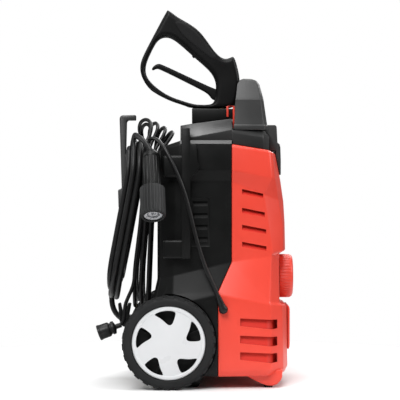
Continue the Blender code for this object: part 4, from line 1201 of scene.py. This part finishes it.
def make_front_trim():
    outline = [
        (0.1318, 0.4345), (0.1314, 0.4270), (0.1384, 0.3890), (0.1411, 0.3890), (0.1412, 0.4150),
        (0.1404, 0.4400), (0.1388, 0.4465), (0.1350, 0.4490), (0.1335, 0.4780), (0.1325, 0.4805),
        (0.1300, 0.4820), (0.1110, 0.4820), (0.1060, 0.4790), (0.1060, 0.4705), (0.1190, 0.4560),
        (0.1190, 0.4345),
    ]
    trim = rounded(prism("trim", [outline], -0.046, 0.046), 0.0010, 3, 35.0)
    piece("nose_trim", trim, "handle", "chassis", ("front_trim",))


def make_front_panel():
    outline = [
        (0.1534, 0.0640), (0.1560, 0.0640), (0.1578, 0.0700), (0.1578, 0.1390), (0.1560, 0.1450),
        (0.1534, 0.1450),
    ]
    panel = rounded(prism("panel", [outline], -0.046, 0.046), 0.0012, 2, 15.0)
    piece("nose_panel", panel, "red", "chassis", ("front_panel",))


def make_knob():
    """Fluted rotary knob with a raised pointer bar on its face."""
    flutes = 40
    steps = flutes * 4
    bm = bmesh.new()
    rows = []
    # radius, height and depth of the flutes, as a share of the full depth
    profile = (
        (0.0405, 0.0, 0.4), (0.0410, 0.0008, 1.0), (0.0410, 0.0180, 1.0), (0.0402, 0.0212, 0.7),
        (0.0382, 0.0240, 0.3), (0.0350, 0.0253, 0.0),
    )
    for radius, height, share in profile:
        rows.append(ring(bm, height, [radius - KNOB_FLUTE * share * (i % 4 == 0) for i in range(steps)]))
    skin(bm, rows)
    bmesh.ops.transform(bm, matrix=turned_matrix((KNOB_BACK_X, 0, KNOB_Z), (1, 0, 0)), verts=bm.verts)
    knob = from_bmesh("knob", bm)
    shaft = [(0.0, -0.0340), (0.0050, -0.0340), (0.0050, 0.0100), (0.0, 0.0100)]
    boolean(knob, lathe("shaft", shaft, (KNOB_BACK_X, 0, KNOB_Z), (1, 0, 0), 24), "UNION")
    dish = [(0.0, 0.0), (0.0310, 0.0), (0.0316, 0.0040), (0.0, 0.0040)]
    boolean(knob, lathe("dish", dish, (0.1638, 0, KNOB_Z), (1, 0, 0), 64))
    piece("rotary_knob", knob, "red", "knob", ("power_knob",))
    bar = block("bar", (0.1630, -0.0055, KNOB_Z - 0.0290), (0.1655, 0.0055, KNOB_Z + 0.0290))
    piece("knob_pointer", rounded(bar, 0.0010, 2), "red", "knob")


# ---------------------------------------------------------------- wheels


def hub_outline(turn):
    """One opening of the hubcap: pointed at one end of the rim, a round lobe towards the hub."""
    rim = 0.0660
    corners = (
        (-27, 0.875), (-20, 0.893), (-10, 0.898), (2, 0.896), (10.5, 0.885), (13.2, 0.850), (13.6, 0.74),
        (12.6, 0.62), (11.0, 0.545), (6.0, 0.500), (-1.5, 0.505), (-8.0, 0.565), (-16.0, 0.685),
        (-23.0, 0.795),
    )
    outline = []
    for angle, share in corners:
        theta = math.radians(90 - angle) - turn
        outline.append((rim * share * math.cos(theta), rim * share * math.sin(theta)))
    return smooth_outline(outline, 2)


def ring_sector(bm, angle_low, angle_high, r_low, r_high, y_low, y_high, steps=3):
    """A block bent round the axle, tapered a little at its crown."""
    loops = []
    for step in range(steps + 1):
        angle = angle_low + (angle_high - angle_low) * step / steps
        middle = (angle_low + angle_high) / 2
        crown = middle + (angle - middle) * 0.80
        y_in = y_low + 0.0008 if y_low < y_high else y_low - 0.0008
        y_out = y_high - 0.0008 if y_low < y_high else y_high + 0.0008
        corners = (
            (r_low, angle, y_low), (r_high, crown, y_in), (r_high, crown, y_out), (r_low, angle, y_high),
        )
        loops.append(
            [bm.verts.new((AXLE_X + r * math.cos(a), y, AXLE_Z + r * math.sin(a))) for r, a, y in corners]
        )
    skin(bm, loops)


def make_wheel(side, name):
    body = f"wheel_{name}"
    hub = (AXLE_X, side * WHEEL_INNER_Y, AXLE_Z)
    width = WHEEL_OUTER_Y - WHEEL_INNER_Y
    tread = WHEEL_RADIUS - 0.0024
    profile = [
        (0.0672, width - 0.0016), (0.0690, width), (0.0745, width), (0.0785, width - 0.0006),
        (tread - 0.0014, width - 0.0020), (tread, width - 0.0040), (tread, 0.0040),
        (tread - 0.0014, 0.0020), (0.0785, 0.0006), (0.0690, 0.0), (0.0672, 0.0016), (0.0655, 0.0100),
        (0.0300, 0.0115), (0.0170, 0.0100), (0.0160, 0.0), (0.0061, 0.0), (0.0061, 0.0230),
        (0.0160, 0.0230), (0.0170, 0.0140), (0.0300, 0.0155), (0.0640, 0.0140), (0.0662, 0.0160),
    ]
    rubber = lathe("tyre", profile, hub, (0, side, 0), 104)
    bm = bmesh.new()
    pitch = math.tau / LUGS
    for number in range(LUGS):
        start = math.tau * number / LUGS
        outer_y = (side * (WHEEL_INNER_Y + width * 0.47), side * (WHEEL_OUTER_Y - 0.0012))
        inner_y = (side * (WHEEL_INNER_Y + 0.0012), side * (WHEEL_INNER_Y + width * 0.53))
        ring_sector(bm, start, start + pitch * 0.66, tread - 0.002, WHEEL_RADIUS, *outer_y)
        ring_sector(bm, start + pitch * 0.5, start + pitch * 1.16, tread - 0.002, WHEEL_RADIUS, *inner_y)
    lugs = from_bmesh("lugs", bm)
    # ribs that stiffen the wheel's web
    bm = bmesh.new()
    for number in range(WEB_RIBS):
        angle = math.tau * (number + 0.5) / WEB_RIBS
        across = Vector((-math.sin(angle), 0, math.cos(angle))) * 0.0012
        loops = []
        for radius, high in ((0.0150, 0.0225), (0.0400, 0.0190), (0.0655, 0.0200)):
            centre = Vector((AXLE_X + radius * math.cos(angle), 0, AXLE_Z + radius * math.sin(angle)))
            low_y = Vector((0, side * (WHEEL_INNER_Y + 0.0120), 0))
            high_y = Vector((0, side * (WHEEL_INNER_Y + high), 0))
            near, far = centre - across, centre + across
            loops.append([bm.verts.new(p) for p in (near + low_y, near + high_y, far + high_y, far + low_y)])
        skin(bm, loops)
    ribs = from_bmesh("ribs", bm)
    tyre = joined("tyre_all", [rubber, lugs, ribs])
    piece(f"tyre_{name}", tyre, "tyre", body, (f"wheel_{name}",), 30.0)

    cap_profile = [
        (0.0, 0.0110), (0.0080, 0.0109), (0.0160, 0.0107), (0.0260, 0.0100), (0.0360, 0.0089),
        (0.0460, 0.0076), (0.0560, 0.0062), (0.0588, 0.0058), (0.0600, 0.0066), (0.0640, 0.0062),
        (0.0655, 0.0048), (0.0662, 0.0030), (0.0662, 0.0), (0.0640, -0.0005), (0.0620, 0.0010),
        (0.0560, 0.0030), (0.0460, 0.0044), (0.0360, 0.0057), (0.0260, 0.0068), (0.0160, 0.0075),
        (0.0, 0.0078),
    ]
    cap = (AXLE_X, side * (WHEEL_OUTER_Y - 0.006), AXLE_Z)
    hubcap = lathe("hubcap", cap_profile, cap, (0, side, 0), 120)
    holes = []
    for number in range(HUB_OPENINGS):
        hole = prism("opening", [hub_outline(number * math.tau / HUB_OPENINGS)], -0.02, 0.02)
        hole.data.transform(Matrix.Translation((AXLE_X, side * 0.14, AXLE_Z)))
        holes.append(hole)
    boolean(hubcap, holes)
    piece(f"hubcap_cover_{name}", hubcap, "white", body, (f"hubcap_{name}",), 32.0)


# ---------------------------------------------------------------- gun, holster, brackets and hooks

GUN_Y = -0.055
GUN_HALF = 0.016
SEAM = 0.0005  # gap between the halves of the casing
GUN_OUTER = (
    (-0.0683, 0.6943), (-0.0506, 0.6805), (-0.0302, 0.6694), (-0.0116, 0.6563), (0.0033, 0.6377),
    (0.0145, 0.6210), (0.0266, 0.6080), (0.0368, 0.6031), (0.0461, 0.6054), (0.0517, 0.6084),
    (0.0561, 0.6024), (0.0640, 0.5700), (0.0640, 0.5450), (0.0600, 0.5250), (0.0500, 0.5106),
    (-0.0246, 0.5120), (-0.0418, 0.5188), (-0.0644, 0.5260), (-0.0874, 0.5372), (-0.1050, 0.5488),
    (-0.1184, 0.5700), (-0.1214, 0.5894), (-0.1160, 0.6080), (-0.0940, 0.6498), (-0.0711, 0.6928),
)
GUN_LOOP = (
    (-0.0729, 0.6452), (-0.0599, 0.6415), (-0.0413, 0.6266), (-0.0209, 0.6080), (-0.0023, 0.5920),
    (0.0117, 0.5782), (0.0191, 0.5633), (0.0201, 0.5485), (0.0176, 0.5261), (0.0117, 0.5190),
    (-0.0040, 0.5185), (-0.0190, 0.5190), (-0.0413, 0.5255), (-0.0636, 0.5332), (-0.0832, 0.5447),
    (-0.1008, 0.5596), (-0.1101, 0.5745), (-0.1113, 0.5875), (-0.1083, 0.6005), (-0.0990, 0.6210),
    (-0.0906, 0.6359), (-0.0832, 0.6424),
)
TRIGGER = (
    (0.0380, 0.5430), (0.0300, 0.5455), (0.0210, 0.5470), (-0.0030, 0.5575), (-0.0815, 0.5945),
    (-0.0880, 0.5950), (-0.0950, 0.5915), (-0.1000, 0.5850), (-0.0970, 0.5825), (-0.0915, 0.5860),
    (-0.0850, 0.5855), (-0.0100, 0.5480), (0.0050, 0.5395), (0.0125, 0.5290), (0.0190, 0.5270),
    (0.0270, 0.5320), (0.0320, 0.5375), (0.0380, 0.5400),
)
GRIP_INLAY = (
    (-0.0590, 0.6690), (-0.0400, 0.6420), (-0.0100, 0.6190), (0.0060, 0.6060), (0.0130, 0.6015),
    (0.0185, 0.6025), (0.0205, 0.6070), (0.0120, 0.6170), (-0.0130, 0.6500), (-0.0300, 0.6630),
    (-0.0500, 0.6740),
)


def make_gun():
    outer = smooth_outline(list(GUN_OUTER), 2)
    loop = smooth_outline(list(GUN_LOOP), 2)
    pocket = block("pocket", (0.0120, GUN_Y - 0.0085, 0.5200), (0.0400, GUN_Y + 0.0085, 0.5760))
    slot = block("lock_slot", (-0.0370, GUN_Y - 0.0055, 0.5980), (-0.0120, GUN_Y + 0.0055, 0.6275))
    bore = cylinder("bore", 0.0093, 0.0175, (0.030, GUN_Y, 0.500), (0, 0, 1), 32)
    pin = cylinder("pin", 0.0027, 0.028, (0.026, GUN_Y - 0.014, 0.540), (0, 1, 0), 24)
    cutters = [evaluated(c) for c in (pocket, slot, bore, pin)]
    halves = pillow("casing", [outer, loop], GUN_Y, GUN_HALF, 0.52, 0.0085, 0.0013)
    mesh = evaluated(halves)
    for side, name in ((-1, "right"), (1, "left")):
        half = scratch("half", mesh.copy())
        low_y, high_y = sorted((GUN_Y - side * 0.05, GUN_Y + side * SEAM / 2))
        far = block("far", (-0.2, low_y, 0.4), (0.2, high_y, 0.8))
        boolean(half, [far] + [scratch("cutter", c.copy()) for c in cutters])
        piece(f"gun_half_{name}", half, "gun", "gun", (f"gun_casing_{name}",), 42.0)
    pad = smooth_outline(list(GRIP_INLAY), 2)
    inlay = pillow("inlay", [pad], GUN_Y - 0.0150, 0.0019, 0.35, 0.0035, 0.0008)
    piece("grip_pad", inlay, "soft_grip", "gun", ("grip_inlay",), 42.0)
    lever = pillow("lever", [smooth_outline(list(TRIGGER), 2)], GUN_Y, 0.0075, 0.62, 0.0030, 0.0009)
    piece("trigger_lever", lever, "gun", "trigger", ("trigger",), 42.0)


def make_holster():
    outline = [
        (-0.0246, 0.4822), (0.0470, 0.4912), (0.0500, 0.4925), (0.0560, 0.4925), (0.0560, 0.5102),
        (-0.0246, 0.5115),
    ]
    holster = rounded(prism("holster", [outline], GUN_Y - 0.022, GUN_Y + 0.022), 0.0022, 3, 40.0)
    boolean(holster, cylinder("bore", 0.0130, 0.03, (0.030, GUN_Y, 0.4910), (0, 0, 1), 40))
    piece("gun_holster_block", holster, "black", "chassis", ("gun_holster",))
    clip_outline = [
        (0.0390, 0.5150), (0.0390, 0.4950), (0.0430, 0.4950), (0.0430, 0.5140), (0.0506, 0.5140),
        (0.0506, 0.4740), (0.0540, 0.4740), (0.0540, 0.5150),
    ]
    clip = rounded(prism("clip", [clip_outline], GUN_Y - 0.0265, GUN_Y - 0.0223), 0.0007, 2, 40.0)
    piece("holster_clip_red", clip, "red", "chassis", ("holster_clip",))


def make_bracket():
    outline = [
        (-0.0430, 0.4720), (-0.0280, 0.4720), (-0.0270, 0.4450), (-0.0255, 0.4435), (-0.0165, 0.4420),
        (-0.0150, 0.4400), (-0.0150, 0.4150), (-0.0110, 0.4040), (-0.0110, 0.4000), (-0.0170, 0.3920),
        (-0.0270, 0.3800), (-0.0270, 0.2360), (-0.0430, 0.2360),
    ]
    plate = baked(rounded(prism("plate", [outline], -0.1290, -0.1190), 0.0016, 2, 30.0))
    arms = []
    for low_z, high_z, inner_y in ((0.2350, 0.2700, -0.1105), (0.3830, 0.4230, -0.1130)):
        arm = block("arm", (-0.0770, -0.1250, low_z), (-0.0350, inner_y, high_z))
        arms.append(baked(rounded(arm, 0.0045, 4, 30.0)))
    boolean(plate, arms, "UNION")
    piece("accessory_bracket", plate, "black", "chassis", ("side_bracket",))


def make_hooks():
    upper = [
        (REAR_X - GAP, 0.4280), (REAR_X - GAP, 0.4050), (-0.1480, 0.4050), (-0.1455, 0.3000),
        (-0.1530, 0.3000), (-0.1560, 0.3250), (-0.1640, 0.3270), (-0.1650, 0.3610), (-0.1580, 0.3640),
        (-0.1620, 0.4950), (-0.1610, 0.5000), (-0.1575, 0.5025), (-0.1310, 0.5030), (-0.1310, 0.4930),
        (-0.1460, 0.4930), (-0.1485, 0.4900), (-0.1500, 0.4280),
    ]
    hook = rounded(prism("hook", [upper], -0.010, 0.010), 0.0020, 3, 30.0)
    piece("winding_hook", hook, "handle", "chassis", ("upper_hook",))
    lower = [
        (REAR_LOW_X - GAP, 0.1240), (REAR_LOW_X - GAP, 0.1020), (-0.1540, 0.1020), (-0.1590, 0.1055),
        (-0.1620, 0.1130), (-0.1650, 0.1460), (-0.1600, 0.1470), (-0.1555, 0.1260), (-0.1525, 0.1260),
        (-0.1460, 0.1470), (-0.1400, 0.1460), (-0.1440, 0.1240),
    ]
    cradle = rounded(prism("cradle", [lower], -0.010, 0.010), 0.0014, 2, 30.0)
    piece("hose_cradle", cradle, "black", "chassis", ("lower_hook",))


LOCK_PIVOT = (-0.0320, 0.6221)
LOCK_DIRECTION = (0.739, -0.674)


def make_trigger_lock():
    """Small lever along the grip's inner edge, with a nub for the finger at its free end."""
    pivot_x, pivot_z = LOCK_PIVOT
    along_x, along_z = LOCK_DIRECTION
    corners = (
        (-0.003, 0.0022), (-0.003, -0.0022), (0.012, -0.0022), (0.015, -0.0050), (0.0195, -0.0050),
        (0.0195, 0.0022),
    )
    outline = [
        (pivot_x + along * along_x - out * along_z, pivot_z + along * along_z + out * along_x)
        for along, out in corners
    ]
    lever = rounded(prism("lock", [outline], GUN_Y - 0.0045, GUN_Y + 0.0045), 0.0008, 2, 30.0)
    piece("lock_lever", lever, "gun", "trigger_lock", ("trigger_lock",))


def make_lid_rim():
    """Grey lip of the lid, lying on the rear housing's sloping shoulder."""
    shells = []
    for side in (-1, 1):
        bm = bmesh.new()
        loops = []
        for x, out in ((-0.0460, -0.0060), (-0.0300, -0.0035), (0.0000, -0.0015), (0.0478, 0.0)):
            section = ((0.1182, 0.4434), (0.1188, 0.4440), (0.1126, 0.4507), (0.1118, 0.4502))
            loops.append([bm.verts.new((x, side * (w + out), z)) for w, z in section])
        skin(bm, loops)
        shells.append(from_bmesh("rim", bm))
    piece("lid_rim", joined("rims", shells), "grey", "chassis", smooth=25.0)


SLOT_HALF = 0.0004  # half the width of a cross recess


def make_small_parts():
    """Hose nut, case screws and the pads under the front feet."""
    nut = fluted_ring("nut", (-0.1187, 0.0400, 0.1050), (-1, 0, 0), 0.0155, 0.0088, 0.0178, 18, 0.0009)
    piece("hose_nut", nut, "rubber", "chassis", ("hose_inlet_nut",))
    for name in ("left", "right"):
        low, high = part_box(f"case_screw_{name}")
        y, z = (low[1] + high[1]) / 2, (low[2] + high[2]) / 2
        reach = (high[2] - low[2]) / 2
        length = high[0] - low[0]
        thread = 0.0021
        dome = [
            (0.0, 0.0), (reach * 0.55, 0.0003), (reach * 0.85, 0.0010), (reach, 0.0018), (reach, 0.0021),
            (thread, 0.0021), (thread, length), (0.0, length),
        ]
        screw = lathe("screw", dome, (low[0], y, z), (1, 0, 0), 32)
        back, deep = low[0] - 0.001, low[0] + 0.0013
        cross = [
            block("cross", (back, y - wide, z - high_by), (deep, y + wide, z + high_by))
            for wide, high_by in ((SLOT_HALF, reach * 0.55), (reach * 0.55, SLOT_HALF))
        ]
        boolean(screw, cross)
        piece(f"screw_{name}", screw, "steel", "chassis", (f"case_screw_{name}",))
        low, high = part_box(f"front_foot_pad_{name}")
        pad = rounded(block("pad", low, high), 0.0009, 2, 30.0)
        grooves = []
        for share in (0.25, 0.5, 0.75):
            x = low[0] + share * (high[0] - low[0])
            near = (x - 0.0006, low[1] - 0.01, low[2] - 0.001)
            far = (x + 0.0006, high[1] + 0.01, low[2] + 0.0007)
            grooves.append(block("groove", near, far))
        boolean(pad, grooves)
        piece(f"foot_pad_{name}", pad, "rubber", "chassis", (f"front_foot_pad_{name}",))


make_front_cover()
make_rear_housing()
make_top_cover()
make_handle()
make_front_trim()
make_front_panel()
make_knob()
make_wheel(-1, "right")
make_wheel(1, "left")
make_gun()
make_trigger_lock()
make_lid_rim()
make_small_parts()
make_holster()
make_bracket()
make_hooks()
